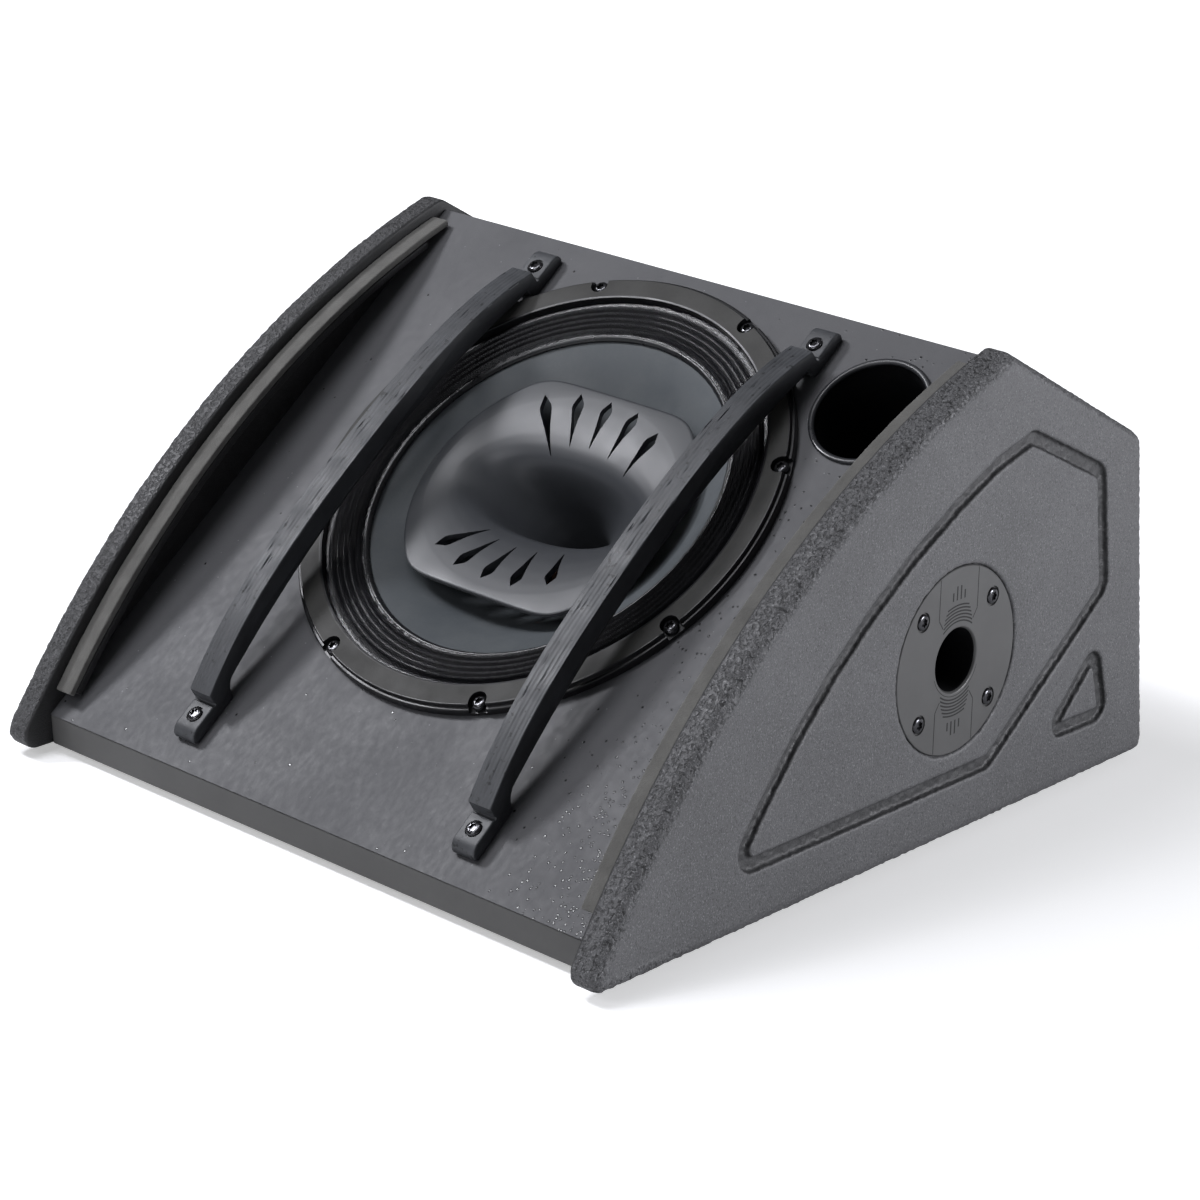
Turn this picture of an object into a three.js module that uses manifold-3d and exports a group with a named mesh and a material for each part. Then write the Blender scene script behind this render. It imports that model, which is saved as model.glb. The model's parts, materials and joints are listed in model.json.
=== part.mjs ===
// Low-profile wedge stage monitor: a plywood wedge cabinet with a coaxial twelve-inch
// driver, one reflex port, two curved grille bars, a side pole socket and a rear amplifier.
// Units are millimetres and +Z is up. The sloped baffle faces -Y (towards the performer),
// +X is the right side, with the pole socket. The origin is on the floor, under the middle
// of the object's bounding box.
import * as THREE from "three";
import { mergeVertices } from "three/addons/utils/BufferGeometryUtils.js";
import Module from "manifold-3d";

const wasm = await Module();
wasm.setup();

const rad = (degrees) => (degrees * Math.PI) / 180;

// ---------------------------------------------------------------- driving dimensions
const GAP = 0.3; // clearance between neighbouring pieces
const HALF_WIDTH = 235; // half the width over the side panels
const SIDE_THICK = 19;
const INNER_HALF = HALF_WIDTH - SIDE_THICK;
const EDGE_R = 7; // roundover of the side panels' outer edges
const FOOT_H = 5;
const CENTRE_Y = 4.6966; // middle of the depth, in the cabinet frame

// Side panel outline in the cabinet frame: an arc in front, a slope on top, a leaning rear.
const ARC = { y: 275.2, z: -299.8, radius: 604.7 };
const ARC_CENTRE = [ARC.y, ARC.z];
const REAR = { y: 253.4, lean: rad(5.6), recess: 26 }; // leans forward going up
const SLOPE = { y: REAR.y, z: 189.2, angle: rad(29.26) }; // falls towards the rear
const FILLET = { toe: 9, peak: 9, rearTop: 12, rearBottom: 8 };

const BOTTOM_THICK = 18.2;
const PANEL_THICK = 15;
const TOP_INSET = 5; // top rear panel below the side panels' edge
// The baffle starts on the bottom panel and rises at this angle.
const BAFFLE = { y: -225, z: BOTTOM_THICK + GAP, angle: rad(37.9) };

// Places on the baffle are [across, up the slope].
const DRIVER_UP = 241.3;
const CUTOUT_R = 141.6;
const SCREW_CIRCLE = 152;
const PORT = { centre: [167.5, 353.5], inner: 34.2, outer: 36.4, lip: 38.1, depth: 120 };
const BAR = { across: 111.1, width: 17.6, tab: 8.6, screwsUp: [30.3, 381.7] };

// Foam strips along the side panels; angles are about the arc's centre.
const FOAM = { width: 12.8, thick: 4.5, below: 6.4, from: rad(108.3), to: rad(146.2) };

// Side pole socket.
const POLE = { centre: [56.5, 106], plate: 54.6, hole: 18.1, cup: 22.2, depth: 88 };
const POLE_SCREWS = [[32.5, 30], [-32.5, 30], [32.5, -30], [-32.5, -30]]
  .map(([y, z]) => [POLE.centre[0] + y, POLE.centre[1] + z]);

// ---------------------------------------------------------------- solids
// A closed three.js geometry as a solid that can be cut and joined.
function solid(geometry, matrix) {
  const source = geometry.index ? geometry.toNonIndexed() : geometry;
  const bare = new THREE.BufferGeometry().setAttribute("position", source.getAttribute("position"));
  if (matrix) bare.applyMatrix4(matrix);
  const merged = mergeVertices(bare, 1e-4);
  const index = merged.index.array;
  const triangles = [];
  for (let i = 0; i < index.length; i += 3) {
    const [a, b, c] = index.slice(i, i + 3);
    if (a !== b && b !== c && a !== c) triangles.push([a, b, c]);
  }
  const build = () =>
    new wasm.Manifold(new wasm.Mesh({
      numProp: 3,
      vertProperties: merged.attributes.position.array,
      triVerts: new Uint32Array(triangles.flat()),
    }));
  const result = build();
  if (result.volume() >= 0) return result;
  // The faces point inwards, so every triangle is turned over.
  triangles.forEach((triangle) => triangle.reverse());
  return build();
}

function toGeometry(body) {
  const mesh = body.getMesh();
  const geometry = new THREE.BufferGeometry()
    .setAttribute("position", new THREE.BufferAttribute(new Float32Array(mesh.vertProperties), 3))
    .setIndex(new THREE.BufferAttribute(new Uint32Array(mesh.triVerts), 1))
    .toNonIndexed();
  geometry.computeVertexNormals();
  return geometry;
}

const cut = (body, tools) => tools.reduce((rest, tool) => rest.subtract(tool), body);
const join = (body, parts) => parts.reduce((sum, part) => sum.add(part), body);

const times = (count, make) => Array.from({ length: count }, (_, i) => make(i));
const about = (centre, half) => [centre - half, centre + half];

// Spans are [from, to] pairs.
function box([x0, x1], [y0, y1], [z0, z1], matrix) {
  const geometry = new THREE.BoxGeometry(x1 - x0, y1 - y0, z1 - z0);
  geometry.translate((x0 + x1) / 2, (y0 + y1) / 2, (z0 + z1) / 2);
  return solid(geometry, matrix);
}

// A cylinder along Z.
function rod(radius, [z0, z1], [x, y], segments) {
  const geometry = new THREE.CylinderGeometry(radius, radius, z1 - z0, segments);
  geometry.rotateX(Math.PI / 2);
  geometry.translate(x, y, (z0 + z1) / 2);
  return solid(geometry);
}

// A cylinder or cone along X.
function rodX(radius, [x0, x1], [y, z], segments, endRadius = radius) {
  const geometry = new THREE.CylinderGeometry(endRadius, radius, x1 - x0, segments);
  geometry.rotateZ(-Math.PI / 2);
  geometry.translate((x0 + x1) / 2, y, z);
  return solid(geometry);
}

// A surface of revolution about Z from [radius, height] points; closed on itself.
function latheGeometry(profile, segments) {
  const points = profile.map(([radius, height]) => new THREE.Vector2(radius, height));
  const onAxis = points[0].x === 0 && points.at(-1).x === 0;
  if (!onAxis) points.push(points[0].clone());
  return new THREE.LatheGeometry(points, segments).rotateX(Math.PI / 2);
}
const lathe = (profile, segments) => solid(latheGeometry(profile, segments));

// A thin revolved sheet, given by its upper line and its thickness along Z.
const sheet = (top, thickness, segments) =>
  lathe([...top, ...top.map(([radius, height]) => [radius, height - thickness]).reverse()], segments);

const vec = (x, y) => new THREE.Vector2(x, y);
const shapeOf = (points) => new THREE.Shape(points.map(([x, y]) => vec(x, y)));

function extrude(points, [from, to], matrix) {
  const geometry = new THREE.ExtrudeGeometry(shapeOf(points), {
    depth: to - from,
    bevelEnabled: false,
    curveSegments: 1,
  });
  return solid(geometry.translate(0, 0, from), matrix);
}

// A plate in XY over a span of Z.
const plate = extrude;

// A prism along X whose section is given as (y, z) points.
const SECTION_TO_X = new THREE.Matrix4().set(0, 0, 1, 0, 1, 0, 0, 0, 0, 1, 0, 0, 0, 0, 0, 1);
const prismX = (section, span) => extrude(section, span, SECTION_TO_X);

// ---------------------------------------------------------------- outlines
const polar = ([x, y], radius, angle) => [
  x + radius * Math.cos(angle),
  y + radius * Math.sin(angle),
];
const sweep = (centre, radius, from, to, steps) =>
  times(steps + 1, (i) => polar(centre, radius, from + ((to - from) * i) / steps));

const CORNER_STEPS = 4;

function roundedRect([x0, x1], [y0, y1], radius) {
  const centres = [
    [x1 - radius, y1 - radius],
    [x0 + radius, y1 - radius],
    [x0 + radius, y0 + radius],
    [x1 - radius, y0 + radius],
  ];
  return centres.flatMap((centre, i) =>
    sweep(centre, radius, rad(90 * i), rad(90 * (i + 1)), CORNER_STEPS));
}

// Rounds the corners of a polygon that carry a radius as a third value.
function rounded(points) {
  return points.flatMap(([x, y, radius], i) => {
    if (!radius) return [[x, y]];
    const corner = vec(x, y);
    const towards = ([px, py]) => vec(px, py).sub(corner).normalize();
    const before = towards(points.at(i - 1));
    const after = towards(points[(i + 1) % points.length]);
    const half = Math.acos(before.dot(after)) / 2;
    const inward = before.clone().add(after).setLength(radius / Math.sin(half));
    const tangent = radius / Math.tan(half);
    const angleOf = (side) => side.clone().multiplyScalar(tangent).sub(inward).angle();
    const start = angleOf(before);
    const turn = angleOf(after) - start;
    const shortTurn = turn - 2 * Math.PI * Math.round(turn / (2 * Math.PI));
    return sweep(corner.add(inward).toArray(), radius, start, start + shortTurn, CORNER_STEPS);
  });
}

// Offsets a closed polygon along its mitred normals; a positive distance grows it.
function offset(points, distance) {
  const corners = points.map(([x, y]) => vec(x, y));
  const outward = Math.sign(THREE.ShapeUtils.area(corners)) * distance;
  const normal = (from, to) => vec(to.y - from.y, from.x - to.x).normalize();
  return corners.map((corner, i) => {
    const before = normal(corners.at(i - 1), corner);
    const after = normal(corner, corners[(i + 1) % corners.length]);
    const mitre = before.clone().add(after).normalize();
    const length = outward / Math.max(0.4, mitre.dot(before)); // the floor limits sharp mitres
    return mitre.multiplyScalar(length).add(corner).toArray();
  });
}

// ---------------------------------------------------------------- materials
const standard = (options) => new THREE.MeshStandardMaterial(options);
const paint = standard({ color: 0x2b2c2e, roughness: 0.72, metalness: 0 });
const satin = standard({ color: 0x34373b, roughness: 0.5, metalness: 0 });
const stain = standard({ color: 0x242528, roughness: 0.6, metalness: 0 });
const foam = standard({ color: 0x4b4a45, roughness: 0.95, metalness: 0 });
const blackMetal = standard({ color: 0x1a1b1c, roughness: 0.35, metalness: 0.6 });
const olive = standard({ color: 0x3a3a36, roughness: 0.45, metalness: 0.2 });
const steel = standard({ color: 0x8d9094, roughness: 0.4, metalness: 0.9 });
const paper = standard({ color: 0x3b4248, roughness: 0.6, metalness: 0 });
const plastic = standard({ color: 0x2c2e31, roughness: 0.38, metalness: 0 });
const rubber = standard({ color: 0x161616, roughness: 0.9, metalness: 0 });
const doped = standard({ color: 0x101114, roughness: 0.25, metalness: 0 });
const ferrite = standard({ color: 0x3a3a3c, roughness: 0.8, metalness: 0 });
const copper = standard({ color: 0x9c5a33, roughness: 0.4, metalness: 0.8 });
const cloth = standard({ color: 0xb08f4e, roughness: 0.9, metalness: 0 });
const wool = standard({ color: 0xd8d6cc, roughness: 1, metalness: 0 });
const board = standard({ color: 0x1e5a35, roughness: 0.6, metalness: 0 });

const group = new THREE.Group();
group.position.set(0, -CENTRE_Y, FOOT_H);

function add(parent, name, body, material) {
  const mesh = new THREE.Mesh(toGeometry(body), material);
  mesh.name = name;
  parent.add(mesh);
}

// ---------------------------------------------------------------- section of the cabinet
// Lines in the (y, z) section, each a point and an outward normal.
const line = (y, z, normalY, normalZ) => ({ point: vec(y, z), normal: vec(normalY, normalZ) });
const slope = line(SLOPE.y, SLOPE.z, Math.sin(SLOPE.angle), Math.cos(SLOPE.angle));
const rear = line(REAR.y, 0, Math.cos(REAR.lean), Math.sin(REAR.lean));
const bottom = line(0, 0, 0, -1);
const baffleFace = line(BAFFLE.y, BAFFLE.z, -Math.sin(BAFFLE.angle), Math.cos(BAFFLE.angle));
const aboveBottom = line(0, BAFFLE.z, 0, 1); // where the baffle and rear panel stand

// The line moved outwards.
const shift = ({ point, normal }, distance) => ({
  point: point.clone().addScaledVector(normal, distance),
  normal,
});

// The (y, z) point where two lines cross.
function meet(a, b) {
  const reachA = a.normal.dot(a.point);
  const reachB = b.normal.dot(b.point);
  const cross = a.normal.cross(b.normal);
  return [
    (reachA * b.normal.y - reachB * a.normal.y) / cross,
    (a.normal.x * reachB - b.normal.x * reachA) / cross,
  ];
}

// Centre of a fillet between the front arc and a line; side picks one of the two crossings.
function arcFillet(edge, radius, side) {
  const { point, normal } = shift(edge, -radius);
  const along = vec(-normal.y, normal.x);
  const fromCentre = vec(point.x - ARC.y, point.y - ARC.z);
  const middle = fromCentre.dot(along);
  const root = Math.sqrt(middle ** 2 - fromCentre.lengthSq() + (ARC.radius - radius) ** 2);
  return point.addScaledVector(along, side * root - middle).toArray();
}

function sideOutline() {
  const lineFillet = (a, b, radius) => meet(shift(a, -radius), shift(b, -radius));
  const arcAngle = ([y, z]) => Math.atan2(z - ARC.z, y - ARC.y);
  const toe = arcFillet(bottom, FILLET.toe, -1);
  const peak = arcFillet(slope, FILLET.peak, 1);
  const rearTop = lineFillet(slope, rear, FILLET.rearTop);
  const rearBottom = lineFillet(rear, bottom, FILLET.rearBottom);
  const toeAngle = arcAngle(toe);
  const peakAngle = arcAngle(peak);
  const slopeAngle = Math.PI / 2 - SLOPE.angle;
  const down = -Math.PI / 2;
  return [
    ...sweep(toe, FILLET.toe, down, toeAngle - 2 * Math.PI, 5),
    ...sweep(ARC_CENTRE, ARC.radius, toeAngle, peakAngle, 16).slice(1, -1),
    ...sweep(peak, FILLET.peak, peakAngle, slopeAngle, 4),
    ...sweep(rearTop, FILLET.rearTop, slopeAngle, REAR.lean, 3),
    ...sweep(rearBottom, FILLET.rearBottom, REAR.lean, down, 3),
  ];
}

// Section of a strip that follows the front arc, inwards from a radius.
const arcStrip = (radius, thickness, from, to) => [
  ...sweep(ARC_CENTRE, radius, from, to, 10),
  ...sweep(ARC_CENTRE, radius - thickness, to, from, 10),
];

// Section of a panel between two faces, ending at two more lines.
const panelSection = (outer, inner, start, end) => [
  meet(start, outer), meet(end, outer), meet(end, inner), meet(start, inner),
];

// A group on a section line, with y up the line and z out of it. Facing is -1 for a face
// seen from the front, with x to +X, and 1 for one seen from the rear, with x to -X.
function frameOn({ point, normal }, facing) {
  const frame = new THREE.Group();
  frame.position.set(0, point.x, point.y);
  frame.quaternion.setFromRotationMatrix(new THREE.Matrix4().makeBasis(
    new THREE.Vector3(-facing, 0, 0),
    new THREE.Vector3(0, -facing * normal.y, facing * normal.x),
    new THREE.Vector3(0, normal.x, normal.y),
  ));
  frame.updateMatrix();
  group.add(frame);
  return frame;
}

// Cabinet section points in a frame's own (y, z).
function intoFrame(frame, points) {
  const inverse = frame.matrix.clone().invert();
  return points.map(([y, z]) => new THREE.Vector3(0, y, z).applyMatrix4(inverse).toArray().slice(1));
}

// ---------------------------------------------------------------- side panels
const GROOVE = { width: 8.5, depth: 3.2 };
// Routed groove centre lines as (y, z, corner radius): a large outline, a triangle behind it.
const GROOVE_PATHS = [
  [
    [-136, 36.5, 9], [91.4, 36, 9], [200.5, 115, 9], [192, 187, 9], [121.4, 222.6, 8],
    [88, 214], [52, 198], [11, 175.8], [-24, 152.5], [-57, 126.5], [-86, 98], [-112, 68],
  ],
  [[195.5, 77, 6], [206.5, 35.6, 6], [152, 36.2, 5]],
].map(rounded);

function grooveCutter(path) {
  const floor = HALF_WIDTH - GROOVE.depth;
  const island = prismX(offset(path, -GROOVE.width / 2), [floor - 1, HALF_WIDTH + 6]);
  return prismX(offset(path, GROOVE.width / 2), [floor, HALF_WIDTH + 5]).subtract(island);
}

// Ledge that carries the foam strip.
function foamLedge() {
  const radius = ARC.radius - FOAM.below - FOAM.thick - 0.7;
  const section = arcStrip(radius, 4.6, FOAM.from + rad(2), FOAM.to - rad(0.3));
  return prismX(section, [INNER_HALF - FOAM.width - 0.6, INNER_HALF + 0.5]);
}

// The panel on the +X side. The prism is made too deep, so that trimming its inner side
// leaves the roundover on the outer edge only.
function sidePanel() {
  const spare = 10;
  const geometry = new THREE.ExtrudeGeometry(shapeOf(sideOutline()), {
    depth: SIDE_THICK + spare,
    bevelEnabled: true,
    bevelThickness: EDGE_R,
    bevelSize: EDGE_R,
    bevelOffset: -EDGE_R,
    bevelSegments: 2,
    curveSegments: 1,
  });
  geometry.translate(0, 0, INNER_HALF - EDGE_R - spare);
  const panel = solid(geometry, SECTION_TO_X)
    .subtract(box([0, INNER_HALF], [-400, 400], [-50, 400]))
    .add(foamLedge());
  return cut(panel, GROOVE_PATHS.map(grooveCutter));
}

const poleOpenings = () => [
  rodX(POLE.plate + 0.7, [HALF_WIDTH - 3.4, HALF_WIDTH + 5], POLE.centre, 36),
  rodX(POLE.cup + 0.5, [HALF_WIDTH - 60, HALF_WIDTH + 5], POLE.centre, 24),
  ...POLE_SCREWS.map((place) => rodX(2.3, [HALF_WIDTH - 12.6, HALF_WIDTH], place, 8)),
];

add(group, "right_side_panel", cut(sidePanel(), poleOpenings()), paint);
add(group, "left_side_panel", sidePanel().mirror([1, 0, 0]), paint);

// ---------------------------------------------------------------- bottom panel and feet
const BETWEEN_SIDES = about(0, INNER_HALF - GAP);

function bottomPanel() {
  const rearEdge = shift(rear, -6);
  const section = [
    [BAFFLE.y + 2.6, 0],
    [BAFFLE.y + 0.2, BOTTOM_THICK],
    meet(rearEdge, line(0, BOTTOM_THICK, 0, 1)),
    meet(rearEdge, bottom),
  ];
  return prismX(section, BETWEEN_SIDES);
}
add(group, "bottom_panel", bottomPanel(), satin);

const FOOT_PROFILE = [[0, -FOOT_H], [9.4, -FOOT_H], [11, -3.6], [11.8, -GAP], [0, -GAP]];
for (const [end, y] of [["front", -190], ["rear", 214]])
  for (const [side, x] of [["left", -203], ["right", 203]])
    add(group, `${end}_${side}_foot`, lathe(FOOT_PROFILE, 20).translate([x, y, 0]), rubber);

// ---------------------------------------------------------------- top rear panel and handle
const topOuter = shift(slope, -TOP_INSET);
const topInner = shift(topOuter, -PANEL_THICK);
const baffleInner = shift(baffleFace, -PANEL_THICK);

// The frame's origin is on the side panels' slope, at the middle of the handle.
const HANDLE_Y = 172;
const HANDLE_Z = SLOPE.z + (SLOPE.y - HANDLE_Y) * Math.tan(SLOPE.angle);
const topFrame = frameOn({ point: vec(HANDLE_Y, HANDLE_Z), normal: slope.normal }, 1);

function topRearPanel() {
  const section = panelSection(topOuter, topInner, shift(baffleInner, -GAP), shift(rear, -5));
  const opening = roundedRect(about(0, 84), about(0, 30), 12);
  return prismX(section, BETWEEN_SIDES).subtract(plate(opening, [-40, 10], topFrame.matrix));
}
add(group, "top_rear_panel", topRearPanel(), paint);

// Recessed carrying handle: flange, cup and grip bar in one moulding.
function carryHandle() {
  const seat = -TOP_INSET + GAP;
  return plate(roundedRect(about(0, 96), about(0, 41), 14), [seat, seat + 2.5])
    .add(plate(roundedRect(about(0, 83), about(0, 29), 11), [-43, seat + 0.1]))
    .subtract(plate(roundedRect(about(0, 80), about(0, 26), 9), [-40, 10]))
    .add(rodX(8.5, about(0, 81), [9, -15], 16));
}
add(topFrame, "carry_handle", carryHandle(), plastic);

// ---------------------------------------------------------------- rear panel
// The frame's origin is at the side panels' rear bottom corner, before its rounding.
const rearFrame = frameOn(rear, 1);
const AMP = { halfWidth: 165, bottom: 32, top: 160, back: -REAR.recess + GAP, thick: 2.5 };
const AMP_FACE = AMP.back + AMP.thick;
const AMP_SCREW_INSET = 7;
const AMP_SCREWS = [AMP.bottom + AMP_SCREW_INSET, AMP.top - AMP_SCREW_INSET]
  .flatMap((y) => about(0, AMP.halfWidth - AMP_SCREW_INSET).map((x) => [x, y]));

function rearPanel() {
  const outer = shift(rear, -REAR.recess);
  const section = panelSection(outer, shift(outer, -PANEL_THICK), aboveBottom, shift(topInner, -GAP));
  return cut(prismX(intoFrame(rearFrame, section), BETWEEN_SIDES), [
    box(about(0, 148), [45, 147], [-60, 0]),
    ...AMP_SCREWS.map((place) => rod(2.3, [-38, -20], place, 12)),
  ]);
}
add(rearFrame, "rear_panel", rearPanel(), paint);

// ---------------------------------------------------------------- amplifier module
// Places on the rear frame's (x, y).
const XLR_IN = [34, 118];
const XLR_OUT = [72, 118];
const KNOB = [108, 118];
const BUTTON = [140, 118];
const INLET = [120, 62];
const ROCKER_X = 139;

function ampPanel() {
  const through = [-30, -20];
  const outline = roundedRect(about(0, AMP.halfWidth), [AMP.bottom, AMP.top], 4);
  return cut(plate(outline, [AMP.back, AMP_FACE]), [
    ...AMP_SCREWS.map((place) => rod(2.3, through, place, 12)),
    ...[XLR_IN, XLR_OUT].flatMap(([x, y]) => [
      rod(12.4, through, [x, y], 16),
      box(about(x, 5), [y + 8, y + 15], through),
    ]),
    rod(4, through, KNOB, 16),
    rod(4.5, through, BUTTON, 16),
    box(about(INLET[0], 27.5), about(INLET[1], 12.5), through),
  ]);
}
add(rearFrame, "amp_panel", ampPanel(), blackMetal);

const AMP_SCREW_PROFILE = [
  [0, -36], [1.8, -36], [1.8, AMP_FACE + 0.3], [4, AMP_FACE + 0.3], [3.8, AMP_FACE + 2],
  [0, AMP_FACE + 2.6],
];
AMP_SCREWS.forEach((place, i) =>
  add(rearFrame, `amp_screw_${i + 1}`, lathe(AMP_SCREW_PROFILE, 10).translate([...place, 0]), steel));

// Finned heat sink on the module's outer face.
function heatSink() {
  const pitch = 11.72;
  const base = box([-150, -18], [44, 148], [AMP_FACE + GAP, AMP_FACE + 3.8]);
  const fin = (i) => {
    const x = -149 + i * pitch;
    return box([x, x + 2.2], [45, 147], [AMP_FACE + 3.5, -5]);
  };
  return join(base, times(12, fin));
}
add(rearFrame, "heat_sink", heatSink(), blackMetal);

// Both XLR sockets have a square flange and a round body.
const xlrShell = ([x, y]) =>
  plate(roundedRect(about(x, 13), about(y, 15.5), 2.5), [AMP_FACE + GAP, AMP_FACE + 2.3])
    .add(rod(11.7, [-46, AMP_FACE + 1], [x, y], 16))
    .add(rod(11, [AMP_FACE, AMP_FACE + 3.2], [x, y], 16));
const xlrContacts = (centre, firstAngle) =>
  times(3, (i) => polar(centre, 4.6, rad(firstAngle + 120 * i)));

// Female input with three contact holes and a latch slot.
function inputXlr([x, y]) {
  return cut(xlrShell([x, y]), [
    ...xlrContacts([x, y], 120).map((place) => rod(1.6, [-40, 0], place, 6)),
    box(about(x, 4), [y + 9, y + 14], [-30, 0]),
  ]);
}
const inputLatch = ([x, y]) =>
  box(about(x, 3.6), [y + 9.4, y + 13.6], [-27, AMP_FACE + 4.2]);
add(rearFrame, "input_xlr", inputXlr(XLR_IN), plastic);
add(rearFrame, "input_latch", inputLatch(XLR_IN), steel);

// Male link socket: a hollow body with three pins.
function linkXlr(centre) {
  const hollow = xlrShell(centre).subtract(rod(9.2, [-36, 0], centre, 16));
  return join(hollow, xlrContacts(centre, -60).map((place) => rod(1.3, [-38, -23], place, 6)));
}
add(rearFrame, "link_xlr", linkXlr(XLR_OUT), plastic);

// Mains inlet with the rocker switch's frame beside it.
function powerInlet([x, y]) {
  const body = plate(roundedRect(about(x, 31), about(y, 15), 3), [AMP_FACE + GAP, AMP_FACE + 2.6])
    .add(box(about(x, 27), about(y, 12), [-50, AMP_FACE + 1]))
    .subtract(plate(roundedRect([x - 23, x + 3], about(y, 8.5), 3), [-44, 10]));
  const pins = [[-17, -1.5], [-10, 1.5], [-3, -1.5]]
    .map(([dx, dy]) => box(about(x + dx, 1), about(y + dy, 2), [-46, -30]));
  return join(body, pins).subtract(box(about(ROCKER_X, 5.6), about(y, 11), [-44, 10]));
}
add(rearFrame, "power_inlet", powerInlet(INLET), plastic);

// The rocker is tilted about an axis along x, in its own group.
const rockerGroup = new THREE.Group();
rockerGroup.position.set(0, INLET[1], -24);
rockerGroup.rotation.x = rad(8);
rearFrame.add(rockerGroup);
const ROCKER_SECTION = [[-9.4, 6.2], [0, 4.6], [9.4, 6.2], [8.6, -3.5], [-8.6, -3.5]];
add(rockerGroup, "power_rocker", prismX(ROCKER_SECTION, about(ROCKER_X, 5.1)), plastic);

// Tapered knob with a pointer groove across its top.
function levelKnob() {
  const profile = [
    [0, -33], [3, -33], [3, AMP_FACE + 0.8], [9.6, AMP_FACE + 0.8], [9.2, AMP_FACE + 4],
    [8, AMP_FACE + 12.4], [7, AMP_FACE + 13.4], [0, AMP_FACE + 13.4],
  ];
  return lathe(profile, 20)
    .subtract(box(about(0, 0.7), [2, 12], [AMP_FACE + 12.6, AMP_FACE + 20]))
    .translate([...KNOB, 0]);
}
add(rearFrame, "level_knob", levelKnob(), plastic);

const BUTTON_PROFILE = [
  [0, -33], [4, -33], [4, AMP_FACE + 3.6], [3.4, AMP_FACE + 4.2], [0, AMP_FACE + 4.2],
];
add(rearFrame, "preset_button", lathe(BUTTON_PROFILE, 16).translate([...BUTTON, 0]), plastic);

// Circuit board with its transformer, capacitors and power devices.
function ampBoard() {
  const capacitors = [[10, 70], [10, 98], [38, 98], [66, 98]];
  return join(box(about(0, 128), [52, 142], [-62, -60]), [
    box([-110, -60], [66, 116], [-92, -61]),
    box([-40, -6], [60, 84], [-78, -61]),
    box([40, 100], [62, 74], [-80, -61]),
    ...capacitors.map((place) => rod(11, [-92, -61], place, 14)),
  ]);
}
add(rearFrame, "amp_board", ampBoard(), board);

// ---------------------------------------------------------------- baffle and port
// The frame's origin is at the baffle's lower front edge.
const baffleFrame = frameOn(baffleFace, -1);
const FRAME_SCREW_ANGLES = times(8, (i) => rad(22.5 + 45 * i));
const frameScrewPlaces = (centre) =>
  FRAME_SCREW_ANGLES.map((angle) => polar(centre, SCREW_CIRCLE, angle));

function baffle() {
  const section = panelSection(baffleFace, baffleInner, aboveBottom, topOuter);
  const screwPlaces = [
    ...frameScrewPlaces([0, DRIVER_UP]),
    ...about(0, BAR.across).flatMap((across) => BAR.screwsUp.map((up) => [across, up])),
  ];
  return cut(prismX(intoFrame(baffleFrame, section), BETWEEN_SIDES), [
    rod(CUTOUT_R + 0.5, [-30, 10], [0, DRIVER_UP], 44),
    rod(PORT.outer + 0.5, [-30, 10], PORT.centre, 28),
    ...screwPlaces.map((place) => rod(2.8, [-12.5, 5], place, 8)),
  ]);
}
add(baffleFrame, "baffle", baffle(), satin);

const PORT_PROFILE = [
  [PORT.inner, 1.4], [PORT.inner + 1, 2.2], [PORT.lip - 0.6, 2.2], [PORT.lip, 1.4],
  [PORT.lip, GAP], [PORT.outer, GAP], [PORT.outer, -PORT.depth], [PORT.inner, -PORT.depth],
];
add(baffleFrame, "port_tube", lathe(PORT_PROFILE, 28).translate([...PORT.centre, 0]), plastic);

// ---------------------------------------------------------------- grille bars
// Arched plywood bars standing on two screwed tabs. The upper edge is a quartic in the
// distance from its crown, the lower edge an arc.
const BAR_CROWN = { up: 206, height: 40.5, square: 4.4255e-4, quartic: 1.588e-8 };
const BAR_ARCH = { up: 204, radius: 730, height: 25.8 };

function barTop(up) {
  const away = up - BAR_CROWN.up;
  return BAR_CROWN.height - BAR_CROWN.square * away ** 2 - BAR_CROWN.quartic * away ** 4;
}

function barUnder(up) {
  const rise = Math.sqrt(BAR_ARCH.radius ** 2 - (up - BAR_ARCH.up) ** 2);
  const lowest = up > 290 ? 9.6 : 1.2;
  return Math.max(BAR_ARCH.height - BAR_ARCH.radius + rise, lowest);
}

// [up the slope, out of it]
const BAR_SECTION = [
  [18, 0.3], [16.5, 2.2], [17.4, 5.8], [19.6, 7.8], [22.6, BAR.tab], [39.2, BAR.tab],
  [40, BAR.tab + 1],
  ...times(13, (i) => 40.6 + i * 27.6).map((up) => [up, barTop(up) - 0.2]),
  [372.4, BAR.tab + 1], [373.2, BAR.tab], [389.6, BAR.tab], [392.6, 7.8], [394.8, 5.8],
  [395.6, 2.2], [394, 0.3], [366, 0.3], [364.2, 2], [363.6, 9.2],
  ...times(10, (i) => 352 - i * 32).map((up) => [up, barUnder(up)]),
  [57, 10], [53.4, 5.5], [52, 0.3],
];
const BAR_SCREW_PROFILE = [
  [0, -11], [2.2, -11], [2.2, BAR.tab - 0.9], [4.8, BAR.tab - 0.9], [4.8, BAR.tab + 0.4],
  [3.4, BAR.tab + 1.6], [0, BAR.tab + 1.6],
];

function grilleBar(across) {
  return cut(prismX(BAR_SECTION, about(across, BAR.width / 2)), BAR.screwsUp.flatMap((up) => [
    rod(2.8, [-5, 20], [across, up], 8),
    rod(5.3, [BAR.tab - 1.2, 20], [across, up], 16),
  ]));
}

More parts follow.
